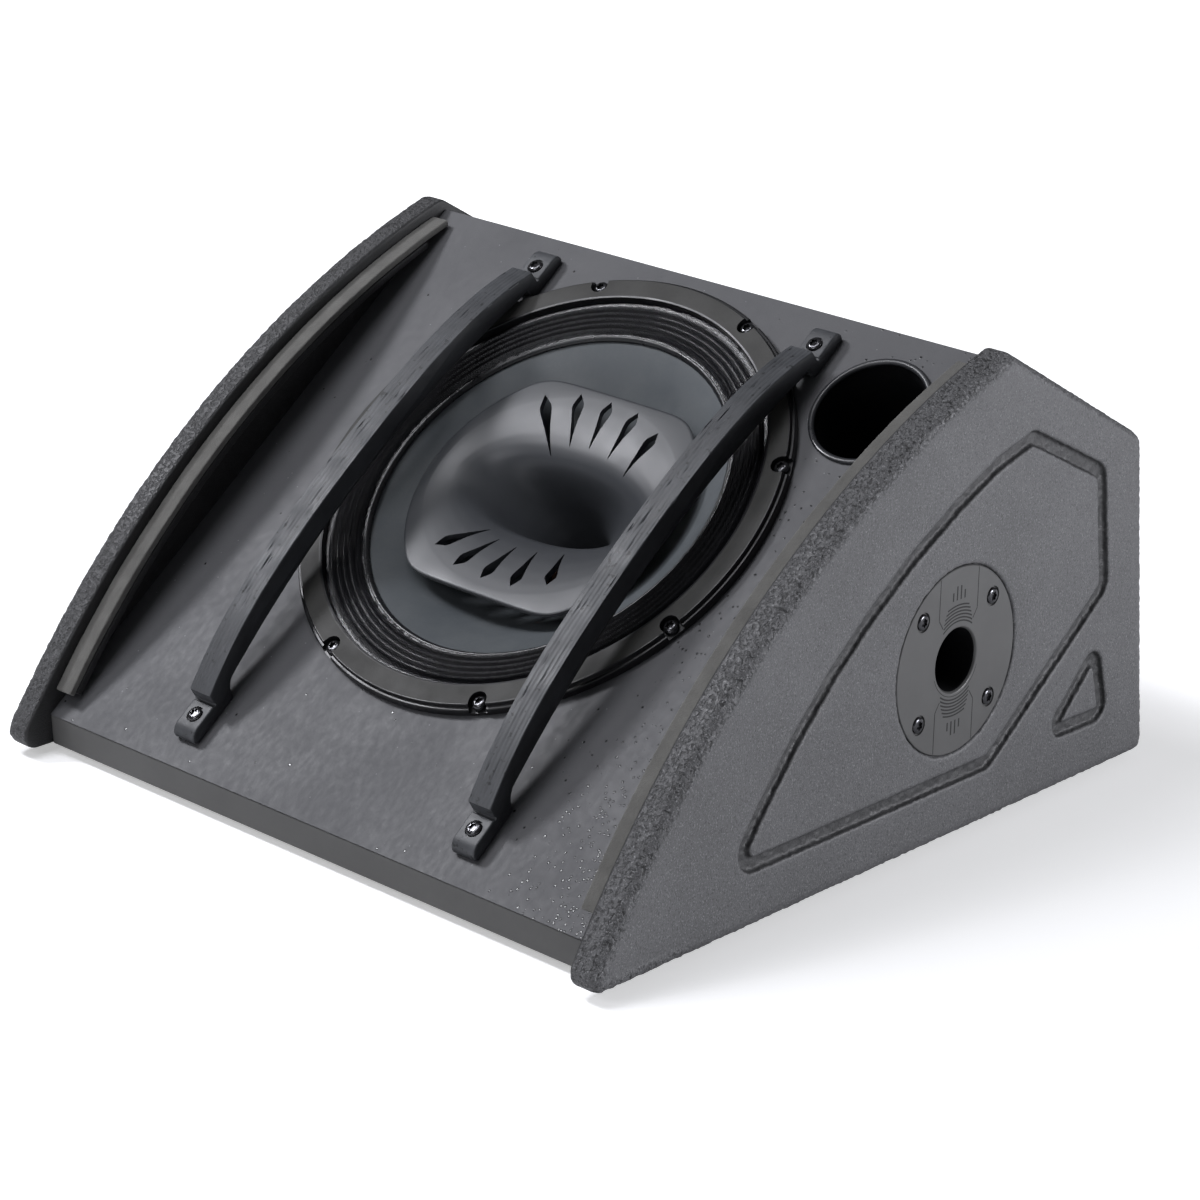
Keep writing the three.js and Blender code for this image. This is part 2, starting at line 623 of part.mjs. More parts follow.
for (const [side, across] of [["left", -BAR.across], ["right", BAR.across]]) {
  add(baffleFrame, `${side}_grille_bar`, grilleBar(across), stain);
  BAR.screwsUp.forEach((up, i) => {
    const screw = lathe(BAR_SCREW_PROFILE, 12).translate([across, up, 0]);
    add(baffleFrame, `${side}_bar_screw_${i ? "upper" : "lower"}`, screw, blackMetal);
  });
}

// ---------------------------------------------------------------- foam strips
const FOAM_SECTION =
  arcStrip(ARC.radius - FOAM.below, FOAM.thick, FOAM.from + 0.001, FOAM.to - 0.001);
const FOAM_OUTER = INNER_HALF - 0.4;
const FOAM_INNER = FOAM_OUTER - FOAM.width;
add(group, "right_foam_strip", prismX(FOAM_SECTION, [FOAM_INNER, FOAM_OUTER]), foam);
add(group, "left_foam_strip", prismX(FOAM_SECTION, [-FOAM_OUTER, -FOAM_INNER]), foam);

// ---------------------------------------------------------------- coaxial driver
// Profiles are [radius, height] about the driver's axis; height 0 is the baffle's face.
const driver = new THREE.Group();
driver.position.set(0, DRIVER_UP, 0);
baffleFrame.add(driver);

const FRAME = { radius: 157.5, top: 7.7, inner: 141 };

// Basket with eight windows and eight notches in the rim for the screws.
function wooferFrame() {
  const profile = [
    [FRAME.radius, GAP], [FRAME.radius, 5], [FRAME.radius - 1.9, FRAME.top],
    [FRAME.inner, FRAME.top], [FRAME.inner, 1.7], [134.8, 1.7],
    [127, -12], [89, -51], [86.5, -60.2], [73, -60.2], [73, -62.5], [80, -63.5],
    [80, -75.5], [46, -75.5], [46, -78], [84, -78], [84, -66], [93.5, -52],
    [131, -13.5], [140.8, 0.3],
  ];
  const turned = (angle) => new THREE.Matrix4().makeRotationZ(angle);
  return cut(lathe(profile, 32), [
    ...times(8, (i) => box([70, 150], about(0, 27), [-48, -17], turned(rad(45 * i)))),
    ...FRAME_SCREW_ANGLES.map((angle) =>
      box([SCREW_CIRCLE - 6, 170], about(0, 6.2), [2.6, 20], turned(angle))),
    ...frameScrewPlaces([0, 0]).map((place) => rod(2.8, [-5, 5], place, 8)),
  ]);
}
add(driver, "woofer_frame", wooferFrame(), olive);

const FRAME_SCREW_PROFILE = [
  [0, -11], [2.2, -11], [2.2, 2.9], [4.7, 2.9], [4.7, 5], [3.2, 6.4], [0, 6.4],
];
frameScrewPlaces([0, 0]).forEach((place, i) => {
  const screw = lathe(FRAME_SCREW_PROFILE, 10).translate([...place, 0]);
  add(driver, `frame_screw_${i + 1}`, screw, blackMetal);
});

const SURROUND = [[140.5, 3.4], [135.2, 3.4], [131, 5.2], [127, 2.2], [123, 4.6], [116.4, 0.6]];
const CONE = [[115.6, -0.6], [98, -10.2], [72, -26], [52, -40], [34, -55]];
const SPIDER = [[75.8, -58.6], [66, -57.4], [55, -59.4], [44, -57.6], [34.6, -58.6]];
add(driver, "woofer_surround", sheet(SURROUND, 1.3, 32), doped);
add(driver, "woofer_cone", sheet(CONE, 1.3, 32), paper);
add(driver, "woofer_spider", sheet(SPIDER, 1.1, 20), cloth);

// A ring from an inner and an outer radius and a [top, bottom] span.
const ring = (inner, outer, [top, base]) =>
  lathe([[inner, top], [outer, top], [outer, base], [inner, base]], 28);
add(driver, "voice_coil", ring(31.6, 33.3, [-54, -91]), copper);
add(driver, "top_plate", ring(34.8, 72, [-78.3, -86.6]), steel);
add(driver, "magnet", ring(45, 78, [-86.9, -106.9]), ferrite);

const POLE_PIECE = [
  [12.9, -78.6], [30.4, -78.6], [30.4, -107.2], [75, -107.2], [75, -115], [12.9, -115],
];
add(driver, "pole_piece", lathe(POLE_PIECE, 28), steel);

// ---------------------------------------------------------------- horn
// A clipped round flange flowing into a wide throat, with slots above and below.
const HORN = { radius: 92.5, halfHeight: 75.5, top: -2.5, flange: 3.3, base: -78.3 };
const HORN_INNER = [
  [72, HORN.top], [60, -6.4], [46, -11.6], [32, -19.8], [20.5, -33], [15, -50], [13, -64],
  [13, HORN.base],
];
const HORN_OUTER = [
  [24, HORN.base], [24, -75.8], [16.6, -74], [16.6, -64], [18.5, -52], [24, -36.5],
  [35, -23.2], [49, -15], [62, -10], [75, -6],
];
// Slot centre lines: outer end x, y, then inner end x, y.
const HORN_SLOTS = [
  [46, 59, 27.5, 28], [23, 66.5, 14.5, 34], [0, 68, 0, 36.5],
  [-23, 66.5, -14.5, 34], [-46, 59, -27.5, 28],
];
const SLOT_HALF_WIDTH = 3.6;
// Slot outline: fraction of the length from the inner end, fraction of the half width.
const SLOT_OUTLINE = [[0, 0], [0.35, 0.65], [0.72, 1], [1, 0], [0.72, -1], [0.35, -0.65]];

// The mouth is wider across than up the slope; the widening fades out towards the throat.
function widened(profile) {
  const geometry = latheGeometry(profile, 28);
  const position = geometry.getAttribute("position");
  for (let i = 0; i < position.count; i++) {
    const share = THREE.MathUtils.smoothstep(position.getZ(i), -50, -4);
    position.setX(i, position.getX(i) * (1 + 0.12 * share));
  }
  return solid(geometry);
}

function hornSlot([outerX, outerY, innerX, innerY], side) {
  const along = vec(outerX - innerX, outerY - innerY);
  const across = vec(-along.y, along.x).setLength(SLOT_HALF_WIDTH);
  const outline = SLOT_OUTLINE.map(([length, width]) => [
    innerX + along.x * length + across.x * width,
    side * (innerY + along.y * length + across.y * width),
  ]);
  return plate(outline, [-34, 5]);
}

function horn() {
  const corner = Math.asin(HORN.halfHeight / HORN.radius);
  const outline = [
    ...sweep([0, 0], HORN.radius, -corner, corner, 10),
    ...sweep([0, 0], HORN.radius, Math.PI - corner, Math.PI + corner, 10),
  ];
  const body = plate(outline, [HORN.top - HORN.flange, HORN.top])
    .subtract(widened([[0, 5], [72, 5], ...HORN_INNER, [0, HORN.base]]))
    .add(widened([...HORN_INNER, ...HORN_OUTER]));
  return cut(body, [1, -1].flatMap((side) => HORN_SLOTS.map((slot) => hornSlot(slot, side))));
}
add(driver, "horn", horn(), plastic);

const HF_DRIVER = [
  [12.9, -115.3], [42, -115.3], [42, -142], [38, -146], [0, -146], [0, -140],
  [24.5, -140], [24.5, -119], [12.9, -119],
];
const HF_DIAPHRAGM = [
  [0, -130.2], [15, -127.2], [20, -123.8], [23.4, -123.4], [23.4, -124.3], [20, -124.8],
  [15, -128.2], [0, -131.2],
];
add(driver, "hf_driver", lathe(HF_DRIVER, 24), blackMetal);
add(driver, "hf_diaphragm", lathe(HF_DIAPHRAGM, 16), steel);

// ---------------------------------------------------------------- pole socket
const POLE_FACE = HALF_WIDTH - 0.6;
const POLE_BACK = POLE_FACE - 2.5;
const POLE_END = HALF_WIDTH - POLE.depth;

// Round plate with a blind cup, a chamfered mouth and countersunk screw holes.
function polePlate() {
  const { centre, hole } = POLE;
  const past = POLE_FACE + 0.01;
  const body = rodX(POLE.plate, [POLE_BACK, POLE_FACE], centre, 36)
    .add(rodX(POLE.cup, [POLE_END, POLE_BACK + 1], centre, 24));
  return cut(body, [
    rodX(hole, [POLE_END + 3, POLE_FACE + 5], centre, 24),
    rodX(hole, [POLE_FACE - 1.4, past], centre, 24, hole + 1.4),
    ...POLE_SCREWS.flatMap((place) => [
      rodX(2.4, [POLE_BACK - 1, POLE_FACE + 1], place, 12),
      rodX(2.4, [POLE_FACE - 2.1, past], place, 12, 4.9),
    ]),
  ]);
}
add(group, "pole_plate", polePlate(), blackMetal);

const POLE_SCREW_PROFILE = [[0, -11.4], [1.8, -11.4], [1.8, -2.4], [4.3, -0.2], [0, -0.2]];
POLE_SCREWS.forEach(([y, z], i) => {
  const geometry = latheGeometry(POLE_SCREW_PROFILE, 10).rotateY(Math.PI / 2);
  add(group, `pole_plate_screw_${i + 1}`, solid(geometry.translate(POLE_FACE, y, z)), steel);
});

// ---------------------------------------------------------------- inside the cabinet
const PAD_OUTLINE = roundedRect(about(0, 200), [108, 205], 8);
add(group, "damping_pad", plate(PAD_OUTLINE, [BOTTOM_THICK + 0.4, BOTTOM_THICK + 20]), wool);

// Six-sided cable along a smooth path of (x, y, z) points.
function speakerCable() {
  const path = [
    [-102, 28, 148], [-108, 60, 134], [-98, 100, 112], [-60, 128, 92], [-22, 150, 90],
  ];
  const section = sweep([0, 0], 3, 0, 2 * Math.PI, 6).slice(0, -1);
  return solid(new THREE.ExtrudeGeometry(shapeOf(section), {
    steps: 12,
    extrudePath: new THREE.CatmullRomCurve3(path.map((point) => new THREE.Vector3(...point))),
    bevelEnabled: false,
  }));
}
add(group, "speaker_cable", speakerCable(), rubber);

export default group;
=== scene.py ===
import bpy
import json
import math
import numpy as np
from mathutils import Matrix, Vector, noise


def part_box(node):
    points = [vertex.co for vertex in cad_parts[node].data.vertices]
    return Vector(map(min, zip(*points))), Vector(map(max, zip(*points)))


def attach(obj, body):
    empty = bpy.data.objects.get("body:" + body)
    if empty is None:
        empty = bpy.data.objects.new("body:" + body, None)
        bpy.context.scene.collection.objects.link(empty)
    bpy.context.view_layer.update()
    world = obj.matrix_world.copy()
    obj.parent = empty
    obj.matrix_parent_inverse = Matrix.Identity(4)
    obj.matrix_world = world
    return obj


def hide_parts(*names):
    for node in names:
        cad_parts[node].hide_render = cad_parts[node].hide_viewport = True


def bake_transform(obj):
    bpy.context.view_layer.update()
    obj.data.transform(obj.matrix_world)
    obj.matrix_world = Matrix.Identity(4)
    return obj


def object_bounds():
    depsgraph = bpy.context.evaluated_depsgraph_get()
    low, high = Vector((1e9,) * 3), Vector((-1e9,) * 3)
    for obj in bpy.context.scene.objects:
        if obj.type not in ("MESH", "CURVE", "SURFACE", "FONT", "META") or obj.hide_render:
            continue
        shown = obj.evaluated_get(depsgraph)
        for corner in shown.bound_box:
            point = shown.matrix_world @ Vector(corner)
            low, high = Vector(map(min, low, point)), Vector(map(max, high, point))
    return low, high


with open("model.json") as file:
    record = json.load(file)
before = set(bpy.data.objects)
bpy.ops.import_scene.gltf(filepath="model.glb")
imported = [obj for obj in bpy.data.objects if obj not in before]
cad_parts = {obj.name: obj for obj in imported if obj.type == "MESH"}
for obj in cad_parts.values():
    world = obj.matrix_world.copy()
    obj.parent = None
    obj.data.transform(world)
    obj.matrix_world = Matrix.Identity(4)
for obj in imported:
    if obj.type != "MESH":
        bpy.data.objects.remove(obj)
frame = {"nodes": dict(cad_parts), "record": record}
cad_lo, cad_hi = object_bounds()
NODES = frame["nodes"]
scene = bpy.context.scene


def rad(d):
    return math.radians(d)


# ------------------------------------------------------------------ frames, in millimetres
_plo, _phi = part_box("pole_plate")
POLE_Y, POLE_Z, POLE_R = 56.5, 106.0, 54.6
CENTRE_Y = POLE_Y - 500.0 * (_plo.y + _phi.y)
FOOT_H = 500.0 * (_plo.z + _phi.z) - POLE_Z
HALF_W = cad_hi.x * 1000.0
SIDE_T, EDGE_R = 19.0, 7.0
ARC_Y, ARC_Z, ARC_R = 275.2, -299.8, 604.7
SLOPE_Y, SLOPE_Z, SLOPE_A = 253.4, 189.2, rad(29.26)
REAR_Y, REAR_LEAN = 253.4, rad(5.6)
TOE_R, PEAK_R, REAR_TOP_R, REAR_BOTTOM_R = 9.0, 9.0, 12.0, 8.0
BAF_Y, BAF_Z, BAF_A, BAF_T = -225.0, 18.5, rad(37.9), 15.0
BOTTOM_T, TOP_INSET, REAR_RECESS, PANEL_T = 18.2, 5.0, 26.0, 15.0
DRIVER_V = 241.3
FRAME_R, FRAME_TOP, FRAME_INNER, CUTOUT_R, SCREW_R = 157.5, 7.7, 141.0, 141.6, 152.0
HORN_R, HORN_HALF, HORN_TOP = 92.5, 75.5, -2.5
PORT_U, PORT_V, PORT_IN, PORT_OUT, PORT_LIP, PORT_DEPTH = 167.5, 353.5, 34.2, 36.4, 38.1, 120.0
BAR_U, BAR_W, TAB_T = 111.1, 17.6, 8.6
BAR_SCREW_V = (30.3, 381.7)
FOAM_W, FOAM_T, FOAM_BELOW = 12.8, 4.5, 6.4
FOAM_A = (rad(108.3), rad(146.2))
GROOVE_W, GROOVE_D = 8.5, 3.2
SCREW_A = [rad(22.5 + 45 * i) for i in range(8)]
POLE_SCREWS = [(POLE_Y + a, POLE_Z + b) for a, b in ((32.5, 30), (-32.5, 30), (32.5, -30), (-32.5, -30))]
FEET = [(-203, -190), (203, -190), (-203, 214), (203, 214)]

CAB = Matrix.Scale(0.001, 4) @ Matrix.Translation((0, -CENTRE_Y, FOOT_H))
BAF = CAB @ Matrix.Translation((0, BAF_Y, BAF_Z)) @ Matrix.Rotation(BAF_A, 4, "X")
DRV = BAF @ Matrix.Translation((0, DRIVER_V, 0))
TOP_Y = 172.0


def basis(x, y, z, o):
    m = Matrix((x, y, z)).transposed().to_4x4()
    m.translation = o
    return m


TOPF = CAB @ basis((-1, 0, 0), (0, -math.cos(SLOPE_A), math.sin(SLOPE_A)), (0, math.sin(SLOPE_A), math.cos(SLOPE_A)),
                   (0, TOP_Y, SLOPE_Z + (SLOPE_Y - TOP_Y) * math.tan(SLOPE_A)))
REARF = CAB @ basis((-1, 0, 0), (0, -math.sin(REAR_LEAN), math.cos(REAR_LEAN)), (0, math.cos(REAR_LEAN), math.sin(REAR_LEAN)),
                    (0, REAR_Y, 0))
SIDE = CAB @ Matrix(((0, 0, 1, 0), (1, 0, 0, 0), (0, 1, 0, 0), (0, 0, 0, 1)))  # (y, z, x) -> cabinet


# ------------------------------------------------------------------ mesh building
def build(name, verts, faces, M=None, angle=35):
    me = bpy.data.meshes.new(name)
    v = np.asarray(verts, float)
    if M is not None:
        a = np.array(M)
        v = v @ a[:3, :3].T + a[:3, 3]
        if np.linalg.det(a[:3, :3]) < 0:
            faces = [tuple(reversed(f)) for f in faces]
    me.from_pydata(v.tolist(), [], [tuple(int(i) for i in f) for f in faces])
    me.validate()
    ob = bpy.data.objects.new(name, me)
    scene.collection.objects.link(ob)
    outward(ob)
    shade(ob, angle)
    return ob


def outward(ob):
    import bmesh
    bm = bmesh.new()
    bm.from_mesh(ob.data)
    bmesh.ops.recalc_face_normals(bm, faces=bm.faces)
    bm.to_mesh(ob.data)
    bm.free()


def shade(ob, angle=35):
    me = ob.data
    me.polygons.foreach_set("use_smooth", [True] * len(me.polygons))
    me.set_sharp_from_angle(angle=rad(angle))
    me.update()


def applied(ob, angle=35):
    dg = bpy.context.evaluated_depsgraph_get()
    me = bpy.data.meshes.new_from_object(ob.evaluated_get(dg))
    ob.modifiers.clear()
    old = ob.data
    ob.data = me
    bpy.data.meshes.remove(old)
    shade(ob, angle)
    return ob


def boolean(ob, cutters, op="DIFFERENCE", angle=35, solver="MANIFOLD"):
    for c in cutters:
        m = ob.modifiers.new("cut", "BOOLEAN")
        m.operation, m.object, m.solver = op, c, solver
    n = len(ob.data.polygons)
    applied(ob, angle)
    for c in cutters:
        bpy.data.objects.remove(c)
    return ob


def bevel(ob, width, segments=2, angle=30, shade_angle=40):
    m = ob.modifiers.new("bevel", "BEVEL")
    m.width, m.segments, m.limit_method, m.angle_limit = width * 0.001, segments, "ANGLE", rad(angle)
    m.use_clamp_overlap, m.miter_outer = True, "MITER_SHARP"
    applied(ob, shade_angle)
    return ob


def weighted(ob):
    m = ob.modifiers.new("weighted", "WEIGHTED_NORMAL")
    m.keep_sharp, m.weight = True, 90
    return ob


def lathe(name, prof, seg=96, M=None, angle=35, closed=True):
    """A body of revolution about z from (radius, height) points."""
    verts, rings = [], []
    for r, h in prof:
        if r < 1e-6:
            rings.append([len(verts)])
            verts.append((0, 0, h))
        else:
            rings.append(list(range(len(verts), len(verts) + seg)))
            verts += [(r * math.cos(2 * math.pi * i / seg), r * math.sin(2 * math.pi * i / seg), h) for i in range(seg)]
    faces = []
    pairs = list(zip(rings, rings[1:]))
    if closed and not (len(rings[0]) == 1 and len(rings[-1]) == 1):
        pairs.append((rings[-1], rings[0]))
    for a, b in pairs:
        for i in range(seg):
            j = (i + 1) % seg
            if len(a) == 1 and len(b) == 1:
                break
            if len(a) == 1:
                faces.append((a[0], b[i], b[j]))
            elif len(b) == 1:
                faces.append((a[i], a[j], b[0]))
            else:
                faces.append((a[i], a[j], b[j], b[i]))
    return build(name, verts, faces, M, angle)


def offset(points, d):
    p = np.asarray(points, float)
    a, b = np.roll(p, 1, 0), np.roll(p, -1, 0)
    area = np.sum(p[:, 0] * b[:, 1] - b[:, 0] * p[:, 1])
    u, w = p - a, b - p
    u /= np.linalg.norm(u, axis=1)[:, None]
    w /= np.linalg.norm(w, axis=1)[:, None]
    n1, n2 = np.c_[u[:, 1], -u[:, 0]], np.c_[w[:, 1], -w[:, 0]]
    m = n1 + n2
    m /= np.linalg.norm(m, axis=1)[:, None]
    l = (1 if area > 0 else -1) * d / np.maximum(0.4, np.sum(m * n1, 1))
    return p + m * l[:, None]


def slab(name, points, z0, z1, r0=0.0, r1=0.0, n=3, M=None, angle=35):
    """A plate between two heights whose lower and upper rims are rounded by r0 and r1."""
    rings = []
    if r0 > 0:
        for k in range(n + 1):
            a = math.pi / 2 * k / n
            rings.append((offset(points, -r0 * (1 - math.sin(a))), z0 + r0 * (1 - math.cos(a))))
    else:
        rings.append((np.asarray(points, float), z0))
    if r1 > 0:
        for k in range(n + 1):
            a = math.pi / 2 * k / n
            rings.append((offset(points, -r1 * (1 - math.cos(a))), z1 - r1 * (1 - math.sin(a))))
    else:
        rings.append((np.asarray(points, float), z1))
    k = len(points)
    verts, faces = [], []
    for p, z in rings:
        verts += [(x, y, z) for x, y in p]
    for i in range(len(rings) - 1):
        for j in range(k):
            q = (j + 1) % k
            faces.append((i * k + j, i * k + q, (i + 1) * k + q, (i + 1) * k + j))
    faces.append(tuple(reversed(range(k))))
    faces.append(tuple(range((len(rings) - 1) * k, len(rings) * k)))
    return build(name, verts, faces, M, angle)


def rod(name, r, z0, z1, x=0, y=0, seg=48, M=None, r2=None, chamfer=0.0):
    r2 = r if r2 is None else r2
    prof = [(0, z0), (r, z0), (r2, z1), (0, z1)]
    if chamfer:
        prof = [(0, z0), (r - chamfer, z0), (r, z0 + chamfer), (r2, z1 - chamfer), (r2 - chamfer, z1), (0, z1)]
    m = Matrix.Translation((x, y, 0))
    return lathe(name, prof, seg, (M @ m) if M is not None else m)


def block(name, x0, x1, y0, y1, z0, z1, M=None, r=0.0):
    """A block with every edge along z rounded slightly and its rims broken."""
    if r > 0:
        return slab(name, rrect(x0, x1, y0, y1, r, 3), z0, z1, min(r, 0.4), min(r, 0.4), 2, M)
    return slab(name, [(x0, y0), (x1, y0), (x1, y1), (x0, y1)], z0, z1, M=M)


def circle(cx, cy, r, seg=48):
    return [(cx + r * math.cos(2 * math.pi * i / seg), cy + r * math.sin(2 * math.pi * i / seg)) for i in range(seg)]


def rrect(x0, x1, y0, y1, r, n=8):
    out = []
    for cx, cy, a in ((x1 - r, y1 - r, 0), (x0 + r, y1 - r, 90), (x0 + r, y0 + r, 180), (x1 - r, y0 + r, 270)):
        out += [(cx + r * math.cos(rad(a + 90 * i / n)), cy + r * math.sin(rad(a + 90 * i / n))) for i in range(n + 1)]
    return out


def rounded(points, n=8):
    out, k = [], len(points)
    for i, p in enumerate(points):
        r = p[2] if len(p) > 2 else 0
        if not r:
            out.append((p[0], p[1]))
            continue
        a, b = points[(i - 1) % k], points[(i + 1) % k]
        P = Vector(p[:2])
        u, w = (Vector(a[:2]) - P).normalized(), (Vector(b[:2]) - P).normalized()
        half = math.acos(max(-1, min(1, u.dot(w)))) / 2
        t = r / math.tan(half)
        c = P + (u + w).normalized() * (r / math.sin(half))
        q0, q1 = P + u * t - c, P + w * t - c
        a0, a1 = math.atan2(q0.y, q0.x), math.atan2(q1.y, q1.x)
        while a1 - a0 > math.pi:
            a1 -= 2 * math.pi
        while a1 - a0 < -math.pi:
            a1 += 2 * math.pi
        out += [(c.x + r * math.cos(a0 + (a1 - a0) * j / n), c.y + r * math.sin(a0 + (a1 - a0) * j / n)) for j in range(n + 1)]
    return out


def resample(points, step):
    """Adds points along the long edges of a closed outline."""
    out, k = [], len(points)
    for i in range(k):
        a, b = np.array(points[i], float), np.array(points[(i + 1) % k], float)
        m = max(1, int(math.ceil(np.linalg.norm(b - a) / step)))
        out += [tuple(a + (b - a) * j / m) for j in range(m)]
    return out


def join(name, obs, angle=35):
    """Puts several closed shells in one mesh."""
    for o in obs:
        o.data.update()
    verts, faces = [], []
    for o in obs:
        base = len(verts)
        verts += [tuple(v.co) for v in o.data.vertices]
        faces += [tuple(base + i for i in p.vertices) for p in o.data.polygons]
        bpy.data.objects.remove(o)
    me = bpy.data.meshes.new(name)
    me.from_pydata(verts, [], faces)
    ob = bpy.data.objects.new(name, me)
    scene.collection.objects.link(ob)
    shade(ob, angle)
    return ob


def coords(ob):
    co = np.zeros(len(ob.data.vertices) * 3)
    ob.data.vertices.foreach_get("co", co)
    return co.reshape(-1, 3)


def set_coords(ob, co):
    ob.data.vertices.foreach_set("co", np.ascontiguousarray(co, np.float32).ravel())
    ob.data.update()


def normals(ob):
    n = np.zeros(len(ob.data.vertices) * 3)
    ob.data.vertices.foreach_get("normal", n)
    return n.reshape(-1, 3)


def roughen(ob, amount_mm, scale, octaves=2, seed=0.0):
    """Moves each vertex along its normal by fine noise: real relief, not a bump."""
    co, nn = coords(ob), normals(ob)
    d = np.array([noise.fractal(Vector(c) * scale + Vector((seed, seed * 1.7, 0)), 1.0, 2.0, octaves) for c in co])
    set_coords(ob, co + nn * (d * amount_mm * 0.001)[:, None])
    return ob


# ------------------------------------------------------------------ section of the cabinet
def line(p, n):
    return (np.array(p, float), np.array(n, float))


LSLOPE = line((SLOPE_Y, SLOPE_Z), (math.sin(SLOPE_A), math.cos(SLOPE_A)))
LREAR = line((REAR_Y, 0), (math.cos(REAR_LEAN), math.sin(REAR_LEAN)))
LBOTTOM = line((0, 0), (0, -1))
LBAF = line((BAF_Y, BAF_Z), (-math.sin(BAF_A), math.cos(BAF_A)))
LSHELF = line((0, BAF_Z), (0, 1))


def off(l, d):
    return (l[0] + l[1] * d, l[1])


def meet(a, b):
    c1, c2 = a[1] @ a[0], b[1] @ b[0]
    det = a[1][0] * b[1][1] - a[1][1] * b[1][0]
    return ((c1 * b[1][1] - c2 * a[1][1]) / det, (a[1][0] * c2 - b[1][0] * c1) / det)


def arc_fillet(l, r, sign):
    q, n = off(l, -r)
    d = np.array((-n[1], n[0]))
    w = q - np.array((ARC_Y, ARC_Z))
    R = ARC_R - r
    b, c = w @ d, w @ w - R * R
    s = (-b + sign * math.sqrt(b * b - c))
    return q + d * s


def sweep(c, r, a0, a1, n):
    return [(c[0] + r * math.cos(a0 + (a1 - a0) * i / n), c[1] + r * math.sin(a0 + (a1 - a0) * i / n)) for i in range(n + 1)]


def side_outline():
    cands = [arc_fillet(LBOTTOM, TOE_R, s) for s in (1, -1)]
    toe = min(cands, key=lambda c: c[0])
    cands = [arc_fillet(LSLOPE, PEAK_R, s) for s in (1, -1)]
    peak = min(cands, key=lambda c: abs(c[0] - 95))
    rt = meet(off(LSLOPE, -REAR_TOP_R), off(LREAR, -REAR_TOP_R))
    rb = meet(off(LREAR, -REAR_BOTTOM_R), off(LBOTTOM, -REAR_BOTTOM_R))
    ta = math.atan2(toe[1] - ARC_Z, toe[0] - ARC_Y)
    pa = math.atan2(peak[1] - ARC_Z, peak[0] - ARC_Y)
    sa = math.pi / 2 - SLOPE_A
    pts = sweep(toe, TOE_R, -math.pi / 2, ta - 2 * math.pi, 14)
    pts += sweep((ARC_Y, ARC_Z), ARC_R, ta, pa, 120)[1:-1]
    pts += sweep(peak, PEAK_R, pa, sa, 12) + sweep(rt, REAR_TOP_R, sa, REAR_LEAN, 12) + sweep(rb, REAR_BOTTOM_R, REAR_LEAN, -math.pi / 2, 12)
    return pts


